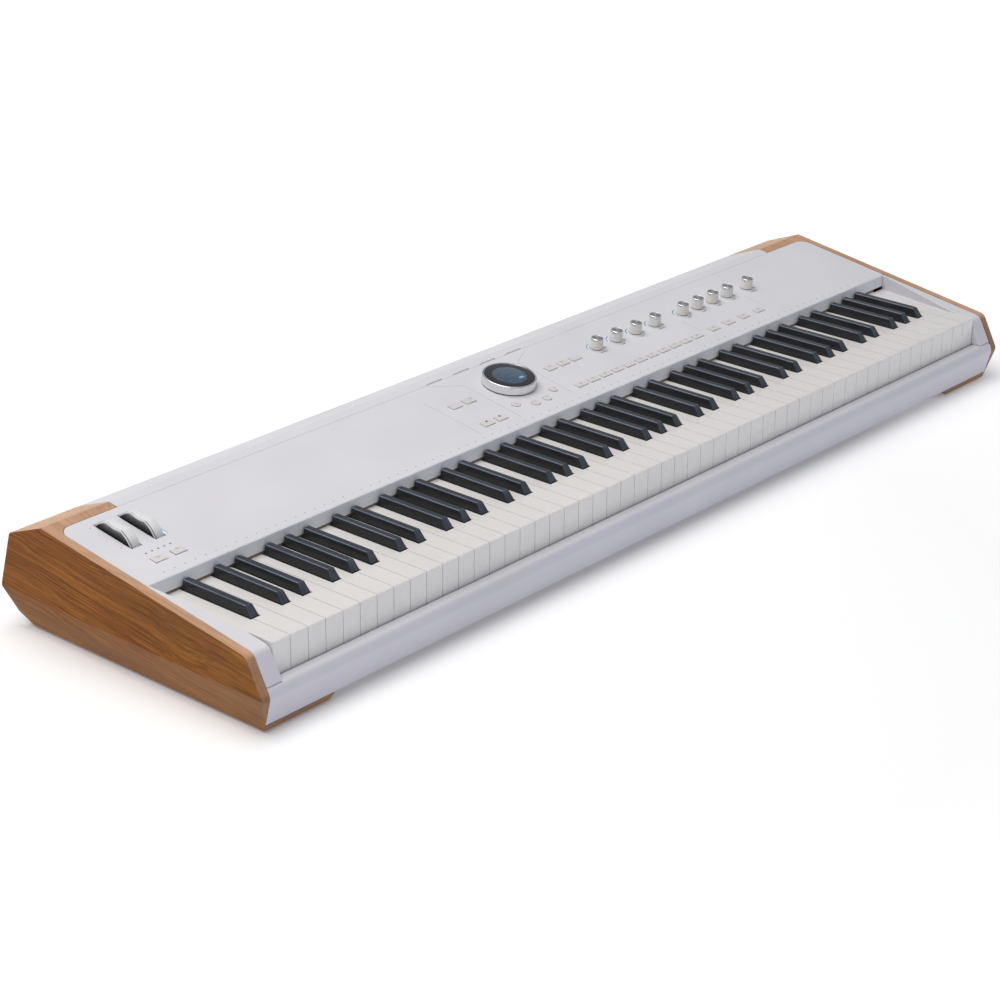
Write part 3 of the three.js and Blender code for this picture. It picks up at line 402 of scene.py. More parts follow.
def spun():
    """Metal turned on a lathe: fine rings about the knob's own axis, and a painted streak of light.
    """
    paint = Paint("spun_metal", Metallic=1.0, Anisotropic=0.5)
    rings = paint.node("ShaderNodeTexWave", wave_type="RINGS", rings_direction="Z")
    paint.fill(rings, Vector=paint.place, Scale=380, Distortion=0.4, Detail=2)
    ripple = rings.outputs["Fac"]
    across, along, _ = paint.axes(paint.place)
    # Painted reflection: by the angle about the knob's axis, the disc gets two bright streaks and
    # two darker sides.
    turn = paint.sums("ARCTAN2", along, across)
    painted_streak = paint.sums("SINE", paint.sums("MULTIPLY_ADD", turn, 2.0, 0.14))
    disc = paint.mix(paint.span(painted_streak, 0.1, 1.0), (0.53, 0.53, 0.54), (0.98, 0.98, 0.98))
    face = paint.mix(paint.facing(Z, 0.90, 0.96), (0.80, 0.80, 0.78), disc)
    paint.colour(face, paint.span(ripple, 0, 1, 0.88, 1.05))
    paint.rough(paint.span(ripple, 0, 1, 0.20, 0.30))
    paint.relief(ripple, 0.00002, 0.5)
    return paint.material


def screen():
    """A small round screen with soft blue shapes on it, warm at one edge."""
    paint = Paint("display_screen", Coat_Weight=0.3, Coat_Roughness=0.04)
    across, along, _ = paint.axes(paint.place)
    bands = paint.noise((30, 330, 1), detail=1)
    blocks = paint.noise((120, 160, 1), detail=1)
    light = paint.times(
        paint.span(bands, 0.42, 0.6, 0.55, 1.0), paint.span(blocks, 0.4, 0.6, 0.75, 1.1)
    )
    blue = paint.mix(light, (0.014, 0.024, 0.042), (0.042, 0.075, 0.115))
    corner = paint.sums("ADD", paint.times(across, -0.7), paint.times(along, 0.7))
    warm = paint.span(corner, 0.010, 0.020, 0.0, 0.75)
    face = paint.mix(warm, blue, (0.060, 0.048, 0.040))
    paint.colour(face)
    paint.glow(face, 0.45)
    paint.rough(paint.swing(blocks, 0.08, 0.16))
    return paint.material


# Heights above a wheel's axle, in metres: where the painted shade on its sides and its rim
# gives way to lighter tones.
WEB_DARK_TO_LIGHT = (0.0212, 0.0318)
RIM_GREY_TO_WHITE = (0.0200, 0.0285)
# The painted shade on a wheel's sides, from its axle's end up to its rim.
WEB_PAINTED_SHADE = (
    (0.0, (0.004, 0.004, 0.005)), (0.25, (0.012, 0.012, 0.015)), (0.6, (0.10, 0.10, 0.115)),
    (1.0, (0.62, 0.62, 0.65)),
)


def wheel_web_painted_shade():
    """The sides of a wheel in painted shade: black at the axle's end and light under the rim."""
    paint = Paint("wheel_web_painted_shade", Roughness=0.55)
    clouds = paint.even_noise(160, detail=3)
    height = paint.sums("ADD", paint.axes(paint.place)[Z], paint.swing(clouds, -0.0005, 0.0005))
    paint.colour(paint.ramp(paint.span(height, *WEB_DARK_TO_LIGHT), WEB_PAINTED_SHADE))
    paint.relief(clouds, 0.00003, 0.5)
    return paint.material


def wheel_rim():
    """A wheel's rim: the housing's white, finely brushed round it, and greyer towards its ends
    with painted shade.
    """
    paint = Paint("wheel_rim", Roughness=0.42)
    grain = paint.noise((2200, 90, 90), detail=3)
    clouds = paint.even_noise(60, detail=4)
    # Painted shade: the rim greyer lower down, towards its ends.
    share = paint.span(paint.axes(paint.place)[Z], *RIM_GREY_TO_WHITE)
    tone = paint.mix(share, (0.47, 0.475, 0.49), (0.73, 0.72, 0.73))
    shade = paint.times(paint.swing(grain, 0.96, 1.03), paint.swing(clouds, 0.96, 1.03))
    paint.colour(tone, shade)
    paint.relief(grain, 0.00003, 0.4)
    return paint.material


def print_ink(name, colour):
    """Screen-printed ink, a little uneven and a little raised."""
    paint = Paint(name, Roughness=0.5)
    edge = paint.even_noise(900, detail=3)
    paint.colour(paint.mix(paint.swing(edge), colour, darker(colour, 0.8)))
    paint.relief(edge, 0.00001, 0.4)
    return paint.material


HOUSING = (0.680, 0.668, 0.700)
WOOD = wood()
# Painted light and shade on faces towards the front: darker and bluer on the housing, lighter on
# the panel's lip, a little bluer on the white keys.
WHITE = moulded("white_housing", HOUSING, 0.42, painted_front_light=(0.600, 0.592, 0.665))
WHITE_PANEL = moulded("white_panel", HOUSING, 0.42, painted_front_light=(0.880, 0.895, 0.950))
WHITE_KEY = moulded("white_key", (0.745, 0.716, 0.700), 0.28, 0.000012, 0.02,
                    (0.735, 0.720, 0.725), Coat_Weight=0.2, Coat_Roughness=0.12)
BLACK_KEY = ebony()
BUTTON = moulded("button_plastic", (0.645, 0.628, 0.612), 0.4)
WHEEL = wheel_rim()
KNOB = moulded("knob_plastic", (0.72, 0.71, 0.67), 0.4)
BLACK_PLASTIC = moulded("black_plastic", (0.02, 0.02, 0.022), 0.42, 0.00004, 0.2)
STEEL = metal("chassis_steel", (0.42, 0.42, 0.43), 0.36, (8, 500, 500))
NICKEL = metal("socket_nickel", (0.62, 0.61, 0.58), 0.25, (300, 60, 300))
RING = metal("ring_metal", (0.82, 0.82, 0.83), 0.26, (90, 90, 2600))
SPUN = spun()
FELT = felt()
RUBBER = rubber()
CIRCUIT = circuit()
BEZEL = glass("display_lens", (0.006, 0.006, 0.008), 0.05)
SCREEN = screen()
SCREEN_LIGHT = glass("display_light", (0.16, 0.26, 0.36), 0.1, (0.30, 0.48, 0.64), 0.35)
LED_BLUE = glass("led_blue", (0.16, 0.42, 0.62), 0.3, (0.20, 0.50, 0.75), 0.35)
LED_PALE = glass("led_pale", (0.60, 0.74, 0.84), 0.3, (0.60, 0.78, 0.90), 0.35)
LED_ARC = glass("led_arc", (0.11, 0.25, 0.38), 0.3, (0.10, 0.26, 0.40), 0.15)
LED_HALO = glass("led_halo", (0.62, 0.71, 0.80), 0.3, (0.60, 0.76, 0.90), 0.08)
LED_GREEN = glass("led_green", (0.07, 0.30, 0.27), 0.3, (0.08, 0.34, 0.30), 0.15)
LED_GREY = glass("led_grey", (0.12, 0.125, 0.17), 0.3, coat=0.0)
LED_LILAC = glass("led_lilac", (0.52, 0.48, 0.74), 0.35, (0.55, 0.48, 0.85), 0.25, 0.0)
WEB = wheel_web_painted_shade()
INK_FAINT = print_ink("panel_ink_faint", (0.40, 0.39, 0.40))
INK = print_ink("panel_ink", (0.20, 0.20, 0.23))
INK_SOFT = print_ink("panel_ink_soft", (0.43, 0.42, 0.47))
INK_DARK = print_ink("panel_ink_dark", (0.02, 0.02, 0.025))


# Meshes

# A square's corners, in order.
CORNERS = ((-1, -1), (1, -1), (1, 1), (-1, 1))
# What makes a copied mesh whole, in millimetres and in degrees.
MERGED, FLAT = 0.02, 0.4


def finished(name, bm, material, body, replaced=(), sharp=35, matrix=None,
             weighted=False):
    """Turns a bmesh into a piece: its shading, material, body and the nodes it stands for."""
    mesh = bpy.data.meshes.new(name)
    bmesh.ops.recalc_face_normals(bm, faces=bm.faces)
    bm.to_mesh(mesh)
    bm.free()
    mesh.shade_smooth()
    mesh.set_sharp_from_angle(angle=math.radians(sharp))
    piece = bpy.data.objects.new(name, mesh)
    bpy.context.scene.collection.objects.link(piece)
    piece.data.materials.append(material)
    if matrix:
        piece.matrix_world = matrix
    if weighted:
        normals = piece.modifiers.new("normals", "WEIGHTED_NORMAL")
        normals.keep_sharp = True
    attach(piece, body)
    if replaced:
        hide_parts(*replaced)
    return piece


def body_of(node):
    """The body that a node rides on: its own where it has one, the case otherwise."""
    return node if node in frame["bodies"] else "case"


def copied(node):
    """A bmesh of a node's own mesh, with its flat areas made whole."""
    source = frame["nodes"][node]
    bm = bmesh.new()
    bm.from_mesh(source.data)
    bmesh.ops.remove_doubles(bm, verts=bm.verts, dist=MERGED * MM)
    bmesh.ops.dissolve_limit(bm, angle_limit=math.radians(FLAT), verts=bm.verts, edges=bm.edges)
    return bm


def soft_edges(bm, width, segments, angle, shortest, choose):
    """Rounds the convex edges that are sharp and long enough, and chosen."""
    edges = []
    for edge in bm.edges:
        if len(edge.link_faces) != 2 or not edge.is_convex:
            continue
        if edge.calc_face_angle() < math.radians(angle) or edge.calc_length() < shortest * width:
            continue
        if choose is None or choose(edge):
            edges.append(edge)
    bmesh.ops.bevel(bm, geom=edges, offset=width, segments=segments, profile=0.5,
                    affect="EDGES", clamp_overlap=False, loop_slide=True)


def refined(node, material, width, segments=3, angle=28, shortest=1.2, choose=None,
            prepare=None):
    """A node's shape in its place, with its edges rounded: those of a large enough angle, in
    degrees, and length, in widths."""
    bm = copied(node)
    if prepare:
        prepare(bm)
    soft_edges(bm, width * MM, segments, angle, shortest, choose)
    return finished(f"{node}_dressed", bm, material, body_of(node), (node,), sharp=22,
                    weighted=True)


def circle(radius, sides):
    """Points round the origin."""
    turns = [2 * math.pi * index / sides for index in range(sides)]
    return [(radius * math.cos(turn), radius * math.sin(turn)) for turn in turns]


def ring(bm, matrix, points, height):
    """New vertices at a height above points."""
    return [bm.verts.new(matrix @ Vector((*point, height))) for point in points]


def bridge(bm, first, second):
    """Faces between two rings, where either may be a single point."""
    count = max(len(first), len(second))
    if count == 1:
        return
    for index in range(count):
        after = (index + 1) % count
        corners = [first[index % len(first)], first[after % len(first)],
                   second[after % len(second)], second[index % len(second)]]
        unique = [corner for place, corner in enumerate(corners) if corner not in corners[:place]]
        bm.faces.new(unique)


def closed(bm, rings):
    """Faces from each ring to the next, and from the last to the first."""
    for first, second in zip(rings, rings[1:] + rings[:1]):
        bridge(bm, first, second)


def capped(bm, first, second):
    """Faces between two rings, and over both."""
    bridge(bm, first, second)
    bm.faces.new(first)
    bm.faces.new(second[::-1])


def lathe(bm, profile, sides, matrix):
    """Adds a closed turned form. The profile is a loop of (radius, height), in millimetres."""
    closed(bm, [ring(bm, matrix, circle(radius, sides) if radius else [(0, 0)], height)
                for radius, height in profile])


def rectangle(x, v, width, length):
    """An upright rectangle's outline about its middle."""
    return [(x + sx * width / 2, v + sv * length / 2) for sx, sv in CORNERS]


def line_outline(start, end, width):
    """The outline of a straight stroke."""
    along = Vector(end) - Vector(start)
    side = Vector((-along.y, along.x)).normalized() * width / 2
    return [Vector(place) + turn * side
            for place, turn in ((start, -1), (end, -1), (end, 1), (start, 1))]


def arc_outline(centre, inner, outer, start, end, steps=10):
    """The outline of a piece of a ring, with its angles in degrees."""
    turns = [math.radians(start + (end - start) * step / steps) for step in range(steps + 1)]
    far, near = ([(centre[0] + radius * math.cos(turn), centre[1] + radius * math.sin(turn))
                  for turn in turns] for radius in (outer, inner))
    return far + near[::-1]


def disc_outline(centre, radius, sides):
    """A round outline."""
    return [(centre[0] + x, centre[1] + v) for x, v in circle(radius, sides)]


def plates(name, outlines, material, slot, body="case", low=-0.05, high=0.05):
    """One piece of thin closed plates on the deck."""
    bm = bmesh.new()
    for outline in outlines:
        capped(bm, ring(bm, DECK, outline, low), ring(bm, DECK, outline, high))
    return finished(name, bm, material, body)


# Common slots.
BLACK, LENS = "black_plastic", "display_lens"


# The housing

# Where the cheeks meet the white housing, and how near to it their edges stay crisp.
CHEEK_INNER = 632.3
CHEEK_CLEARANCE = 0.35
# The panel's openings lie within these, in millimetres.
OPENINGS_HALF = 612
OPENINGS_LOW, OPENINGS_HIGH = -76.3, 44.2


def runs_across(edge, shortest=20):
    """Tells edges that run along the keyboard from those of ends, which neighbours hide."""
    first, second = (vertex.co for vertex in edge.verts)
    return abs(first.x - second.x) > shortest * MM


def runs_far(edge):
    """Tells the long edges along the keyboard from those of slots."""
    return runs_across(edge, 200)


def stands_free(edge):
    """Tells a cheek's open edges from those against the white housing, which stay crisp."""
    return all(abs(abs(vertex.co.x) / MM - CHEEK_INNER) > CHEEK_CLEARANCE for vertex in edge.verts)


def panel_rim(edge):
    """Tells the panel's outer edges from those of its openings, which stay crisp."""
    places = [ON_DECK @ vertex.co for vertex in edge.verts]
    return all(abs(place.x + X_AT_DISPLAY) > OPENINGS_HALF
               or not OPENINGS_LOW < place.y < OPENINGS_HIGH for place in places)


# Inner nodes that only get a material.
PLAIN_NODES = {"bottom_tray": STEEL, "key_frame": STEEL, "wheel_bracket": STEEL,
               "key_felt": FELT, "control_board": CIRCUIT}


def dress_housing():
    """The case's nodes, with their edges rounded by so many millimetres."""
    for side in ("left", "right"):
        refined(f"{side}_cheek", WOOD, 0.7, choose=stands_free)
        refined(f"{side}_key_block", WHITE, 0.7)
    refined("front_rail", WHITE, 0.6, choose=runs_across)
    refined("rear_plate", WHITE, 0.6)
    refined("top_panel", WHITE_PANEL, 0.5, choose=panel_rim)
    refined("rear_cover", WHITE, 0.5, choose=runs_far)
    refined("connector_block", BLACK_PLASTIC, 0.4)
    refined("power_button", BLACK_PLASTIC, 0.5)
    for corner in ("front_left", "rear_left", "front_right", "rear_right"):
        refined(f"{corner}_foot", RUBBER, 0.5)
    for node, material in PLAIN_NODES.items():
        slots = frame["nodes"][node].data.materials
        slots.clear()
        slots.append(material)


# The row of rear sockets, in millimetres. The first is the power inlet.
SOCKET_COUNT, SOCKET_FIRST, SOCKET_PITCH = 10, 18, 34
FLAT_SOCKETS = (1, 2)
ROUND_SOCKETS = (3, 4)
JACKS = range(5, 10)
JACK_SLEEVE = ((3.15, -9), (3.5, -9), (3.5, 2.6), (3.15, 2.6))
NUT_RADIUS, NUT_BORE, NUT_HEIGHT = 6.3, 3.6, 1.8
# A nut's levels: how far inside its radius and below its height.
NUT_LEVELS = ((0, NUT_HEIGHT), (0, 0.3), (0.4, 0))
ROUND_RIM = ((7.5, -1), (8.6, -1), (8.6, 0.7), (8.3, 1.0), (7.8, 1.0), (7.5, 0.7))
ROUND_SHELL = ((6.9, -11), (7.3, -11), (7.3, 0.2), (6.9, 0.2))
ROUND_FLOOR = ((0, -12), (6.6, -12), (6.6, -9), (0, -9))
PIN = ((0, -9.2), (0.7, -9.2), (0.7, -4), (0.4, -3.6), (0, -3.6))
PIN_ANGLES = (-90, -45, 0, 45, 90)
PIN_RADIUS = 4.4
FLAT_WIDTH, FLAT_HEIGHT = 13.0, 5.5
FLAT_WALL = 0.4
# The flat shell's section: how much wider than its inside, and its depth.
FLAT_SECTION = ((0, -9), (0, 0.5), (FLAT_WALL, 0.5), (FLAT_WALL, -0.2))
TONGUE = ((-5.6, -0.1), (5.6, -0.1), (5.6, -1.6), (-5.6, -1.6))
TONGUE_DEPTHS = (-10, -1)
INLET_RIM = ((3.3, -0.5), (5.4, -0.5), (5.4, 0.8), (5.0, 1.1), (3.6, 1.1), (3.3, 0.8))
INLET_PIN = ((0, -13), (0.9, -13), (0.9, -3.5), (0.5, -3.0), (0, -3.0))
NUT_SIDES, JACK_SIDES, ROUND_SIDES, FLOOR_SIDES, PIN_SIDES = 6, 32, 48, 40, 12
INLET_SIDES, INLET_PIN_SIDES = 40, 16


def on_rear(x, z, face):
    """The matrix from millimetres across, down and backwards at a place on the rear."""
    turn = Matrix.Rotation(-math.pi / 2, 4, "X")
    return Matrix.Translation(Vector((x, face, z))) @ turn @ Matrix.Scale(MM, 4)


def add_nut(bm, place):
    """A hexagonal nut round a socket."""
    levels = [(NUT_RADIUS - inset, NUT_HEIGHT - below) for inset, below in NUT_LEVELS]
    lathe(bm, [*levels, (NUT_BORE, NUT_HEIGHT), (NUT_BORE, 0)], NUT_SIDES, place)


def add_round_socket(metal_bm, black_bm, place):
    """A round socket with five pins."""
    lathe(black_bm, ROUND_RIM, ROUND_SIDES, place)
    lathe(metal_bm, ROUND_SHELL, ROUND_SIDES, place)
    lathe(black_bm, ROUND_FLOOR, FLOOR_SIDES, place)
    for angle in PIN_ANGLES:
        turn = math.radians(90 - angle)
        pin = Vector((math.cos(turn), math.sin(turn), 0)) * PIN_RADIUS
        lathe(metal_bm, PIN, PIN_SIDES, place @ Matrix.Translation(pin))


def add_flat_socket(metal_bm, black_bm, place):
    """A flat socket: an open metal shell round a tongue."""
    loops = []
    for grow, depth in FLAT_SECTION:
        width, height = (size + 2 * (grow - FLAT_WALL) for size in (FLAT_WIDTH, FLAT_HEIGHT))
        loops.append(ring(metal_bm, place, rectangle(0, 0, width, height), depth))
    closed(metal_bm, loops)
    capped(black_bm, *(ring(black_bm, place, TONGUE, depth) for depth in TONGUE_DEPTHS))


def dress_sockets():
    """The rims, contacts and nuts of the rear sockets."""
    low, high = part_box("connector_block")
    places = [on_rear(low.x + (SOCKET_FIRST + SOCKET_PITCH * index) * MM, (low.z + high.z) / 2,
                      high.y) for index in range(SOCKET_COUNT)]
    metal_bm = bmesh.new()
    black_bm = bmesh.new()
    for index in JACKS:
        add_nut(metal_bm, places[index])
        lathe(metal_bm, JACK_SLEEVE, JACK_SIDES, places[index])
    for index in ROUND_SOCKETS:
        add_round_socket(metal_bm, black_bm, places[index])
    for index in FLAT_SOCKETS:
        add_flat_socket(metal_bm, black_bm, places[index])
    lathe(black_bm, INLET_RIM, INLET_SIDES, places[0])
    lathe(metal_bm, INLET_PIN, INLET_PIN_SIDES, places[0])
    finished("socket_metal", metal_bm, NICKEL, "case")
    finished("socket_plastic", black_bm, BLACK_PLASTIC, "case")


SCREW = ((0, 0.5), (0.9, 0.5), (1.2, 1.35), (2.2, 1.25), (2.8, 0.8), (3.0, 0.1), (3.0, -0.6),
         (0, -0.6))
SCREW_SIDES = 28
REAR_SCREWS, REAR_SCREW_PITCH, REAR_SCREW_INSET = 9, 0.150, 6
TRAY_SCREWS, TRAY_SCREW_PITCH, TRAY_SCREW_INSET = 7, 0.180, 22


def dress_screws():
    """Screws along the rear plate's edges and under the bottom tray."""
    bm = bmesh.new()
    low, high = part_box("rear_plate")
    for index in range(REAR_SCREWS):
        x = (low.x + high.x) / 2 + (index - REAR_SCREWS // 2) * REAR_SCREW_PITCH
        for z in (low.z + REAR_SCREW_INSET * MM, high.z - REAR_SCREW_INSET * MM):
            lathe(bm, SCREW, SCREW_SIDES, on_rear(x, z, high.y))
    low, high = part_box("bottom_tray")
    down = Matrix.Rotation(math.pi, 4, "X") @ Matrix.Scale(MM, 4)
    inset = TRAY_SCREW_INSET * MM
    for index in range(TRAY_SCREWS):
        x = (index - TRAY_SCREWS // 2) * TRAY_SCREW_PITCH
        for y in (low.y + inset, (low.y + high.y) / 2, high.y - inset):
            lathe(bm, SCREW, SCREW_SIDES, Matrix.Translation(Vector((x, y, low.z))) @ down)
    finished("case_screws", bm, NICKEL, "case")


# The groove's floor: how far its middle lies behind the panel, its width, and its two sides.
GROOVE_MIDDLE, GROOVE_WIDTH = 0.3, 0.56
GROOVE_HEIGHTS = (-1.6, -0.12)


def dress_groove():
    """The light floor of the groove between the panel and the rear deck."""
    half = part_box("rear_cover")[1].x / MM
    panel = frame["nodes"]["top_panel"].data.vertices
    panel_end = max((ON_DECK @ vertex.co).y for vertex in panel)
    floor = rectangle(-X_AT_DISPLAY, panel_end + GROOVE_MIDDLE, 2 * half, GROOVE_WIDTH)
    plates("deck_groove", [floor], WHITE, "white_housing", "case", *GROOVE_HEIGHTS)


# The keys

OCTAVES = range(1, 8)
WHITE_KEYS = 52
KEY_PITCH = 23.5
KEYBOARD_HALF = 611.0
KEY_SIDE = 0.45
KEY_SIDE_SHOWN = 0.27
SIDE_TOLERANCE = 0.03
# A white key's front edges: how far from its front, how long, and how far below its top.
FRONT_DEPTH, FRONT_LENGTH, FRONT_DROP = 4, 5, 3


def narrow_gaps(bm):
    """Brings the white keys' flanks a little closer to each other, as crisp as real keys stand."""
    for vertex in bm.verts:
        place = vertex.co.x / MM + KEYBOARD_HALF
        boundary = round(place / KEY_PITCH)
        offset = place - boundary * KEY_PITCH
        if abs(abs(offset) - KEY_SIDE) < SIDE_TOLERANCE and 0 < boundary < WHITE_KEYS:
            shown = math.copysign(KEY_SIDE_SHOWN, offset)
            vertex.co.x = (boundary * KEY_PITCH + shown - KEYBOARD_HALF) * MM


def dress_keys():
    """The combs of white and black keys."""
    low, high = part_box("c_e_g_b_keys_1")
    key_front, key_top = low.y, high.z

    def front_edge(edge):
        """Tells the edges at a white key's front: its corners and its upper edge."""
        first, second = (vertex.co for vertex in edge.verts)
        if max(first.y, second.y) > key_front + FRONT_DEPTH * MM:
            return False
        upright = abs(first.z - second.z) > FRONT_LENGTH * MM
        across = abs(first.x - second.x) > FRONT_LENGTH * MM
        return upright or across and min(first.z, second.z) > key_top - FRONT_DROP * MM

    for octave in OCTAVES:
        for chord in ("c_e_g_b", "d_f_a"):
            node = f"{chord}_keys_{octave}"
            refined(node, WHITE_KEY, 0.7, choose=front_edge, prepare=narrow_gaps)
        refined(f"black_keys_{octave}", BLACK_KEY, 0.5, 2, angle=20, shortest=5)


# The controls

BUTTON_GROUPS = ("octave", "layer", "transport", "mode", "bank", "function", "menu")
KNOBS = range(1, 10)
# Profiles of turned pieces: loops of (radius, height above the panel), in millimetres.
KNOB_PROFILE = (
    (3.3, 0.8), (7.6, 0.8), (7.95, 1.1), (7.9, 2.2), (7.6, 3.4), (7.42, 10.7), (7.3, 10.9),
    (0, 10.9), (0, 10.0), (3.3, 10.0),
)
CAP_SIDE = ((0, 10.8), (7.2, 10.8), (7.42, 10.95), (7.4, 12.2), (7.28, 12.9), (7.0, 13.3),
            (6.6, 13.5), (6.35, 13.46))
DISH_RADIUS, DISH_HEIGHT, DISH_DEPTH, DISH_STEPS = 6.2, 13.30, 0.45, 10
RING_PROFILE = (
    (29.1, 2.6), (30.2, 2.6), (30.2, 1.2), (31.0, 1.2), (31.4, 1.6), (31.4, 9.9), (31.45, 10.3),
    (31.3, 10.9), (30.95, 11.25), (30.4, 11.4), (29.8, 11.4), (29.4, 11.3), (29.15, 11.0),
)
# A dark ring of painted shade in the gap under the encoder ring.
GAP_SHADE_PROFILE = ((29.2, -0.3), (30.0, -0.3), (30.0, 1.6), (29.2, 1.6))
DISPLAY_PROFILE = (
    (0, 10.9), (20.2, 10.9), (28.2, 10.9), (28.6, 10.8), (28.75, 10.5), (28.75, 1.2), (16, 1.2),
    (16, -5), (0, -5),
)
SCREEN_PROFILE = ((0, 10.93), (20.0, 10.93), (20.2, 10.85), (20.2, 10.7), (0, 10.7))
MIDDLE = (0, 0)
KNOB_SIDES, RING_SIDES, GAP_SHADE_SIDES, SCREEN_SIDES = 72, 160, 120, 96
# The lit bar on the display: its place and size, and its lower and upper side.
LIT_BAR = (8, -11, 7, 3.6)
LIT_BAR_HEIGHTS = (10.9, 10.95)


def cap_profile():
    """A turned metal cap: a bright band round a dished disc."""
    dish = [(DISH_RADIUS * (DISH_STEPS - step) / DISH_STEPS,
             DISH_HEIGHT - DISH_DEPTH * (step / DISH_STEPS)) for step in range(DISH_STEPS + 1)]
    return [*CAP_SIDE, *dish]


def placed(name, bm, material, place, body, replaced=(), sharp=35):
    """A piece whose own origin is a place on the deck, so that its material follows its shape."""
    matrix = DECK @ Matrix.Translation(Vector(place)) @ Matrix.Scale(1 / MM, 4)
    return finished(name, bm, material, body, replaced, sharp, matrix)


def local_piece(name, centre, profile, sides, material, body, replaced=()):
    """A turned piece about an axis that stands on the deck."""
    bm = bmesh.new()
    lathe(bm, profile, sides, Matrix.Scale(MM, 4))
    return placed(name, bm, material, (centre[0], centre[1], 0), body, replaced)


def dress_buttons():
    """The strips of button caps."""
    for group in BUTTON_GROUPS:
        refined(f"{group}_buttons", BUTTON, 0.45)


def dress_knobs():
    """The knobs and their metal caps."""
    for number in KNOBS:
        node = f"knob_{number}"
        centre = deck_place(f"{node}_turn")
        local_piece(f"{node}_cap", centre, KNOB_PROFILE, KNOB_SIDES, KNOB, node,
                    (node,))
        local_piece(f"{node}_disc", centre, cap_profile(), KNOB_SIDES, SPUN, node)


def dress_display():
    """The round display with its lens and screen, the ring round it, and a dark ring of painted
    shade under the ring.
    """
    local_piece("encoder_ring", MIDDLE, RING_PROFILE, RING_SIDES, RING, "display_ring",
                ("display_ring",))
    local_piece("display_gap_shade", MIDDLE, GAP_SHADE_PROFILE, GAP_SHADE_SIDES, BLACK_PLASTIC, "case")
    local_piece("display_bezel", MIDDLE, DISPLAY_PROFILE, RING_SIDES, BEZEL, "display",
                ("display",))
    local_piece("display_screen", MIDDLE, SCREEN_PROFILE, SCREEN_SIDES, SCREEN, "display")
    plates("display_light_bars", [rectangle(*LIT_BAR)], SCREEN_LIGHT, LENS, "display",
           *LIT_BAR_HEIGHTS)


# The wheels, in millimetres about their axles

WHEEL_RADIUS = 34.0
SCOOP_RADIUS = 32.0
SCOOP_DEPTH = 3.1
SCOOP_HEIGHT = WHEEL_RADIUS - SCOOP_DEPTH + SCOOP_RADIUS
WHEEL_END_ANGLE = 76
RIM_STEPS, SCOOP_STEPS = 22, 16
# How far from the ridge the rim ends, in radians.
RIDGE_GAP = 0.02
# Across a wheel: its surface's place and depth below the rim. A groove runs near the left edge.
WHEEL_SECTION = (
    (-5.7, 1.3), (-6.15, 1.3), (-6.3, 1.1), (-6.3, 0.45), (-6.1, 0.15), (-5.8, 0.0), (-5.3, 0.0),
    (-5.1, 0.1), (-5.05, 1.0), (-4.2, 1.0), (-4.15, 0.1), (-3.9, 0.0), (5.4, 0.0), (5.9, 0.12),
    (6.2, 0.45), (6.3, 1.1), (6.15, 1.3), (5.7, 1.3),
)
GROOVE_SIDES = (-5.02, -4.23)
GROOVE_FLOOR = 0.22
# A dark strip of painted shade in a wheel's groove: its depth, in millimetres.
GROOVE_SHADE_DEPTH = 0.5
# How far the groove's painted shade stays from the ridge and from the rim's end, in degrees.
GROOVE_SHADE_GAPS = (1.5, 3)
GROOVE_SHADE_STEPS = 18
WEB_DROP = 1.2
WEB_FACE = 5.78
WEB_THICKNESS = 0.4
WEB_FOOT = [(-5.0, 4.5), (5.0, 4.5)]
# The boss's section: (radius, place across).
HUB_SECTION = ((3.4, -6.2), (6.6, -6.2), (7.0, -5.8), (7.0, 5.8), (6.6, 6.2), (3.4, 6.2))
HUB_SIDES = 40


def ridge_turn(drop=0.0):
    """The angle from a lowered wheel's top to the ridge between scoop and rim, and the scoop's."""
    rim, hollow = WHEEL_RADIUS - drop, SCOOP_RADIUS + drop
    ridge = math.acos((SCOOP_HEIGHT ** 2 + rim ** 2 - hollow ** 2) / (2 * SCOOP_HEIGHT) / rim)
    return ridge, math.asin(rim * math.sin(ridge) / hollow)


def wheel_outline(drop):
    """The wheel from the side, about its axle: rim, scoop and rim, lowered by a drop."""
    rim, hollow = WHEEL_RADIUS - drop, SCOOP_RADIUS + drop
    ridge, scoop_turn = ridge_turn(drop)
    ends = math.radians(WHEEL_END_ANGLE)
    rims = [ends + (ridge + RIDGE_GAP - ends) * step / RIM_STEPS for step in range(RIM_STEPS + 1)]
    scoop = [scoop_turn * (1 - 2 * step / SCOOP_STEPS) for step in range(1, SCOOP_STEPS)]
    points = [(rim * math.sin(turn), rim * math.cos(turn)) for turn in rims]
    points += [(hollow * math.sin(turn), SCOOP_HEIGHT - hollow * math.cos(turn)) for turn in scoop]
    points += [(-rim * math.sin(turn), rim * math.cos(turn)) for turn in rims[::-1]]
    return points


def side_ring(bm, x, points):
    """New vertices in a plane across a wheel's axle."""
    return [bm.verts.new(Vector((x, v, h)) * MM) for v, h in points]


def dress_rim(node, axle):
    """A wheel's rim, with its scoop and its groove."""
    bm = bmesh.new()
    rows = [side_ring(bm, x, wheel_outline(drop)) for x, drop in WHEEL_SECTION]
    for first, second in zip(rows, rows[1:]):
        bridge(bm, first, second)
    bm.faces.new(rows[0])
    bm.faces.new(rows[-1][::-1])
    placed(f"{node}_cap", bm, WHEEL, axle, node, (node,), sharp=50)


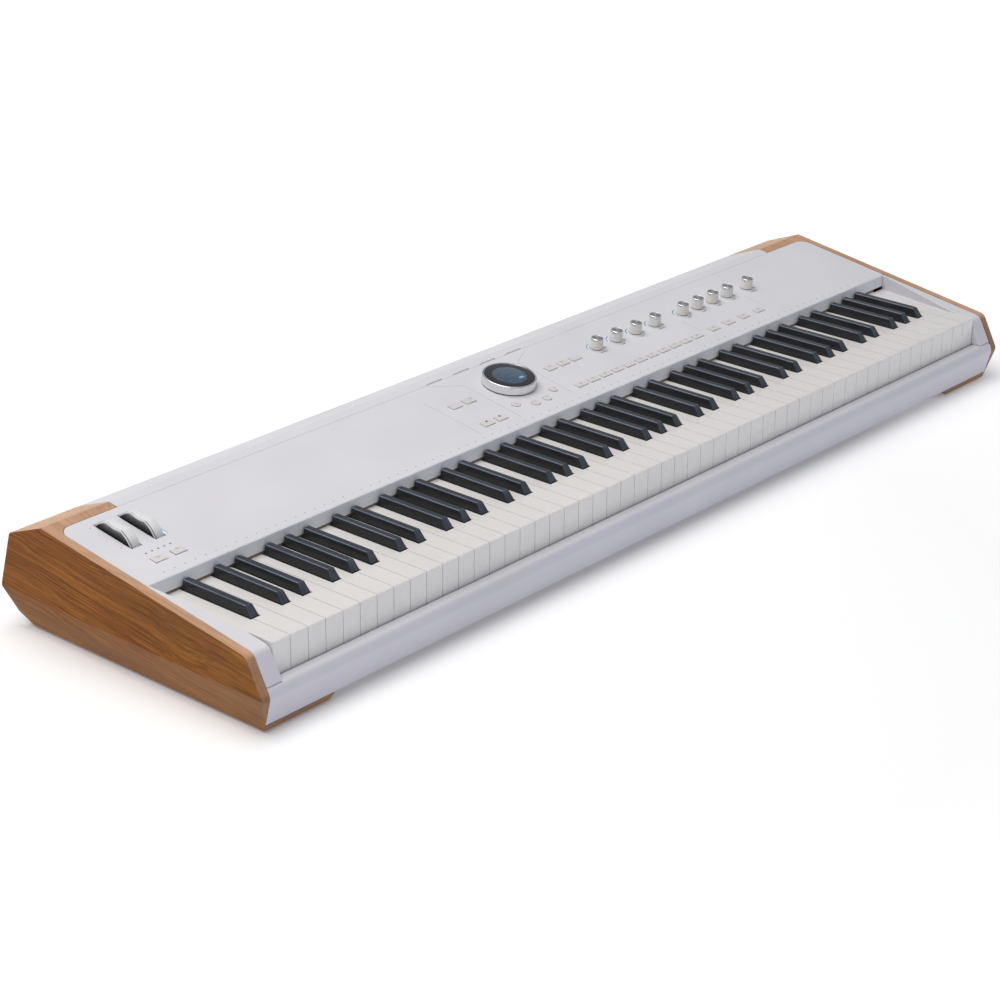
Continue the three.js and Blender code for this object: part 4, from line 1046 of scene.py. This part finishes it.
def dress_groove_shade(node, axle):
    """A dark strip of painted shade in a wheel's groove, on its front slope."""
    start = math.degrees(ridge_turn()[0]) + GROOVE_SHADE_GAPS[0]
    end = WHEEL_END_ANGLE - GROOVE_SHADE_GAPS[1]
    floor = WHEEL_RADIUS - GROOVE_FLOOR
    outline = arc_outline(MIDDLE, floor - GROOVE_SHADE_DEPTH, floor, -90 - start, -90 - end,
                          GROOVE_SHADE_STEPS)
    bm = bmesh.new()
    capped(bm, *(side_ring(bm, x, [(h, -v) for h, v in outline]) for x in GROOVE_SIDES))
    placed(f"{node}_groove_shade", bm, BLACK_PLASTIC, axle, node, sharp=40)


def dress_web(node, axle):
    """A wheel's sides, dark with painted shade, a little inside its rim, about the axle so that
    their painted shade turns with it."""
    outline = wheel_outline(WEB_DROP) + WEB_FOOT
    bm = bmesh.new()
    for side in (-1, 1):
        faces = (side * (WEB_FACE - WEB_THICKNESS), side * WEB_FACE)
        capped(bm, *(side_ring(bm, x, outline) for x in faces))
    placed(f"{node}_sides", bm, WEB, axle, node, sharp=40)


def dress_hub(node, axle):
    """The boss that turns on the axle and carries the wheel's sides."""
    bm = bmesh.new()
    closed(bm, [side_ring(bm, x, circle(radius, HUB_SIDES)) for radius, x in HUB_SECTION])
    placed(f"{node}_hub", bm, BLACK_PLASTIC, axle, node, sharp=40)


def dress_wheels():
    """Both wheels, each with rim, sides, boss and painted shade in its groove."""
    for node in ("pitch_wheel", "modulation_wheel"):
        axle = ON_DECK @ Vector(JOINTS[f"{node}_turn"]["pos_m"])
        dress_rim(node, axle)
        dress_web(node, axle)
        dress_hub(node, axle)
        dress_groove_shade(node, axle)


# The panel's marks. Places are (across from the middle of the case, up the slope from the front).

RUN_AT_DISPLAY = 227.8
GLYPHS = {
    "octave_buttons": ((-588.2, 180.4), (-562.7, 180.8)),
    "layer_buttons": ((-81.0, 227.8),),
    "mode_buttons": ((57.2, 228.0), (78.6, 227.6)),
    "menu_buttons": ((-47.2, 187.6), (-23.9, 179.9), (-5.0, 179.5), (19.4, 188.3)),
    "bank_buttons": tuple((54.5 + 21.85 * index, 178.0) for index in range(11) if index != 4),
    "function_buttons": tuple((308.2 + 30.4 * index, 179.4) for index in range(4)),
}
LIT_GLYPHS = {
    "layer_buttons": (-104.7, 227.9),
    "mode_buttons": (102.8, 228.3),
    "bank_buttons": (141.9, 178.0),
}
TRANSPORT_DOTS = ((-106.9, 179.5), (-85.3, 179.5))
GLYPH_HEIGHTS = (1.05, 1.13)
GLYPH_LENGTH, SMALL_GLYPH_LENGTH = 5.0, 2.8
# The two bars of a mark: half their distance, the lower one's share of the length, and width.
GLYPH_RISE, GLYPH_SHARE, GLYPH_WIDTH = 0.9, 0.65, 0.9
LIT_GLYPH_SIZE = (4.4, 2.4)
# Radius and sides of the round marks, and the width of the lines.
LIGHT_DOT, SMALL_DOT, KEY_DOT, TRANSPORT_DOT = (1.15, 16), (0.8, 12), (0.7, 12), (1.5, 16)
LINE_WIDTH = 0.4
SECTION_LINES = (
    ((-132.0, 251.1), (-132.0, 164.5)),
    ((-101.0, 278.2), (-61.5, 254.6), (-64.5, 165.5)),
    ((65.4, 273.7), (35.5, 258.0), (29.8, 166.6)),
    ((291.0, 215.0), (289.5, 184.0)),
    ((418.5, 213.9), (416.5, 176.1)),
)
WHEEL_LIGHTS = [(-592.1 + 7.95 * index, 193.6) for index in range(5)]
WHEEL_MARKS = ((-603.9, 262.6), (-604.0, 215.8))
KEY_DOTS = [(-601.6 + 13.68 * index, 156.9 - 0.02 * index) for index in range(88)]
STRIP_PLACE, STRIP_SIZE = (-548.5, 216.8), (1.5, 13)
STRIP_HALO_PLACE, STRIP_HALO_SIZE = (-550.6, 216.4), (1.9, 12)
# Arcs round the knobs: two radii, start and end in degrees, and steps.
LIGHT_ARC = (10.7, 12.1, 92, 166)
HALO_ARC = (9.2, 10.6, 96, 176)
OUTLINE_ARC = (11.0, 11.4, 176, 326, 30)
OUTLINE_HIGH = 0.03
BLUE_ARCS, GREEN_ARCS = slice(0, 4), slice(4, 5)
LIT_KNOBS = slice(0, 5)
# The bars below the knobs.
LABEL_LENGTH, LONG_LABEL_LENGTH = 6.2, 12.4
LABEL_OFFSET, LABEL_WIDTH = (0.6, -12.6), 1.1
LONG_LABELS = (1, 4, 9)
# The tick beside a knob: start, end and width.
TICK = ((7.9, -4.3), (11.2, -6.1), 1.7)


def at(x, run):
    """From a place on the panel, across and up the slope, to deck coordinates."""
    return (x - X_AT_DISPLAY, run - RUN_AT_DISPLAY)


def dots(places, radius, sides):
    """Round outlines at places on the panel."""
    return [disc_outline(at(*place), radius, sides) for place in places]


def dress_printed_marks():
    """The lights beside the wheels, the dots along the keys, and the lines between sections."""
    plates("panel_led_dots", dots(WHEEL_LIGHTS, *LIGHT_DOT), LED_GREY, LENS)
    plates("panel_marks", dots(WHEEL_MARKS, *SMALL_DOT), INK, BLACK)
    plates("panel_key_dots", dots(KEY_DOTS, *KEY_DOT), INK, BLACK)
    strokes = [line_outline(at(*start), at(*end), LINE_WIDTH)
               for line in SECTION_LINES for start, end in zip(line, line[1:])]
    plates("panel_section_lines", strokes, INK_FAINT, BLACK)
    strip = rectangle(*at(*STRIP_PLACE), *STRIP_SIZE)
    halo = rectangle(*at(*STRIP_HALO_PLACE), *STRIP_HALO_SIZE)
    plates("panel_led_strip", [strip], LED_BLUE, LENS)
    plates("panel_led_halo", [halo], LED_PALE, LENS)


def dress_knob_marks():
    """The arcs of light, the rings, the ticks and the short bars round the knobs."""
    arcs, halos, ticks, outlines = [], [], [], []
    for number in KNOBS:
        knob = deck_place(f"knob_{number}_turn").to_2d()
        arcs.append(arc_outline(knob, *LIGHT_ARC))
        halos.append(arc_outline(knob, *HALO_ARC))
        outlines.append(arc_outline(knob, *OUTLINE_ARC))
        start, end, width = TICK
        ticks.append(line_outline(knob + Vector(start), knob + Vector(end), width))
        length = LONG_LABEL_LENGTH if number in LONG_LABELS else LABEL_LENGTH
        ticks.append(rectangle(*(knob + Vector(LABEL_OFFSET)), length, LABEL_WIDTH))
    plates("panel_led_arcs", arcs[BLUE_ARCS], LED_ARC, LENS)
    plates("panel_led_arc_green", arcs[GREEN_ARCS], LED_GREEN, LENS)
    plates("panel_led_arc_halos", halos[LIT_KNOBS], LED_HALO, LENS)
    plates("panel_ticks", ticks, INK, BLACK)
    plates("panel_knob_outlines", outlines, INK_FAINT, BLACK, high=OUTLINE_HIGH)


def dress_glyphs():
    """The small generic marks on the buttons: two bars on each, two dots, and three lit bars."""
    for node, places in GLYPHS.items():
        size = SMALL_GLYPH_LENGTH if node == "menu_buttons" else GLYPH_LENGTH
        bars = [rectangle(*at(x, run + rise), size * share, GLYPH_WIDTH)
                for rise, share in ((GLYPH_RISE, 1), (-GLYPH_RISE, GLYPH_SHARE))
                for x, run in places]
        plates(f"{node}_glyphs", bars, INK_SOFT, BLACK, node, *GLYPH_HEIGHTS)
    for node, place in LIT_GLYPHS.items():
        bar = rectangle(*at(*place), *LIT_GLYPH_SIZE)
        plates(f"{node}_lit", [bar], LED_LILAC, LENS, node, *GLYPH_HEIGHTS)
    plates("transport_buttons_dots", dots(TRANSPORT_DOTS, *TRANSPORT_DOT), INK_DARK, BLACK,
           "transport_buttons", *GLYPH_HEIGHTS)


# The stage

CAMERA_PLACE = Vector((-2.0936, -1.7459, 1.1676))
CAMERA_FORWARD = Vector((0.6908, 0.6030, -0.3990))
CAMERA_UP = Vector((0.2959, 0.2678, 0.9169))
CAMERA_LENS, CAMERA_SENSOR = 93.15, 36
FLOOR_REACH = 14
# The floor shines faintly, more so away from this place: distances in metres and strengths.
LIT_MIDDLE = (-0.35, 0, 0)
GLOW_NEAR, GLOW_FAR = 0.7, 2.6
GLOW_WEAK, GLOW_STRONG = 0.10, 0.6
SKY_COLOUR, SKY_STRENGTH = (0.90, 0.93, 1.0, 1), 0.37
# Name, place, aim, size, power and colour.
LIGHTS = (
    ("top", (-0.85, 0.40, 3.2), LIT_MIDDLE, (3.6, 2.6), 97, (1.0, 0.985, 0.95)),
    ("fill", (-2.8, -2.4, 1.9), (0, 0, 0.1), (2.0, 2.0), 2, (1.0, 0.99, 0.97)),
)


def in_scene(name, data):
    """A new object of the scene."""
    made = bpy.data.objects.new(name, data)
    bpy.context.scene.collection.objects.link(made)
    return made


def add_camera():
    """The camera at the photograph's viewing angle."""
    data = bpy.data.cameras.new("camera")
    data.lens = CAMERA_LENS
    data.sensor_width = CAMERA_SENSOR
    camera = in_scene("camera", data)
    forward = CAMERA_FORWARD.normalized()
    right = forward.cross(CAMERA_UP).normalized()
    up = right.cross(forward)
    turn = Matrix((right, up, -forward)).transposed().to_4x4()
    camera.matrix_world = Matrix.Translation(CAMERA_PLACE) @ turn
    bpy.context.scene.camera = camera


def add_floor():
    """A plain pale floor."""
    mesh = bpy.data.meshes.new("floor")
    corners = [(x * FLOOR_REACH, y * FLOOR_REACH, 0) for x, y in CORNERS]
    mesh.from_pydata(corners, [], [(0, 1, 2, 3)])
    floor = in_scene("floor", mesh)
    paint = Paint("pale_floor", Roughness=0.9)
    paint.colour(paint.mix(paint.even_noise(3), (0.925, 0.925, 0.93), (0.94, 0.94, 0.945)))
    away = paint.node("ShaderNodeVectorMath", operation="DISTANCE")
    paint.feed(away.inputs[0], paint.place)
    away.inputs[1].default_value = LIT_MIDDLE
    strength = paint.span(away.outputs["Value"], GLOW_NEAR, GLOW_FAR, GLOW_WEAK, GLOW_STRONG)
    paint.glow((1, 1, 1, 1), strength)
    mesh.materials.append(paint.material)


def add_light(name, place, target, size, power, colour):
    """A soft rectangular light."""
    data = bpy.data.lights.new(name, "AREA")
    data.shape = "RECTANGLE"
    data.size, data.size_y = size
    data.energy = power
    data.color = colour
    light = in_scene(name, data)
    place, target = Vector(place), Vector(target)
    light.location = place
    light.rotation_euler = (target - place).to_track_quat("-Z", "Y").to_euler()


def add_lights():
    """The studio's even light, and the lamps in it."""
    world = bpy.data.worlds.new("studio")
    bpy.context.scene.world = world
    world.use_nodes = True
    background = world.node_tree.nodes["Background"]
    background.inputs["Color"].default_value = SKY_COLOUR
    background.inputs["Strength"].default_value = SKY_STRENGTH
    for light in LIGHTS:
        add_light(*light)


def main():
    """Dresses the piano, piece by piece, and sets up its studio."""
    dress_housing()
    dress_groove()
    dress_sockets()
    dress_screws()
    dress_keys()
    dress_buttons()
    dress_knobs()
    dress_display()
    dress_wheels()
    dress_printed_marks()
    dress_knob_marks()
    dress_glyphs()
    add_camera()
    add_floor()
    add_lights()
    bpy.context.scene.view_settings.view_transform = "Standard"


main()
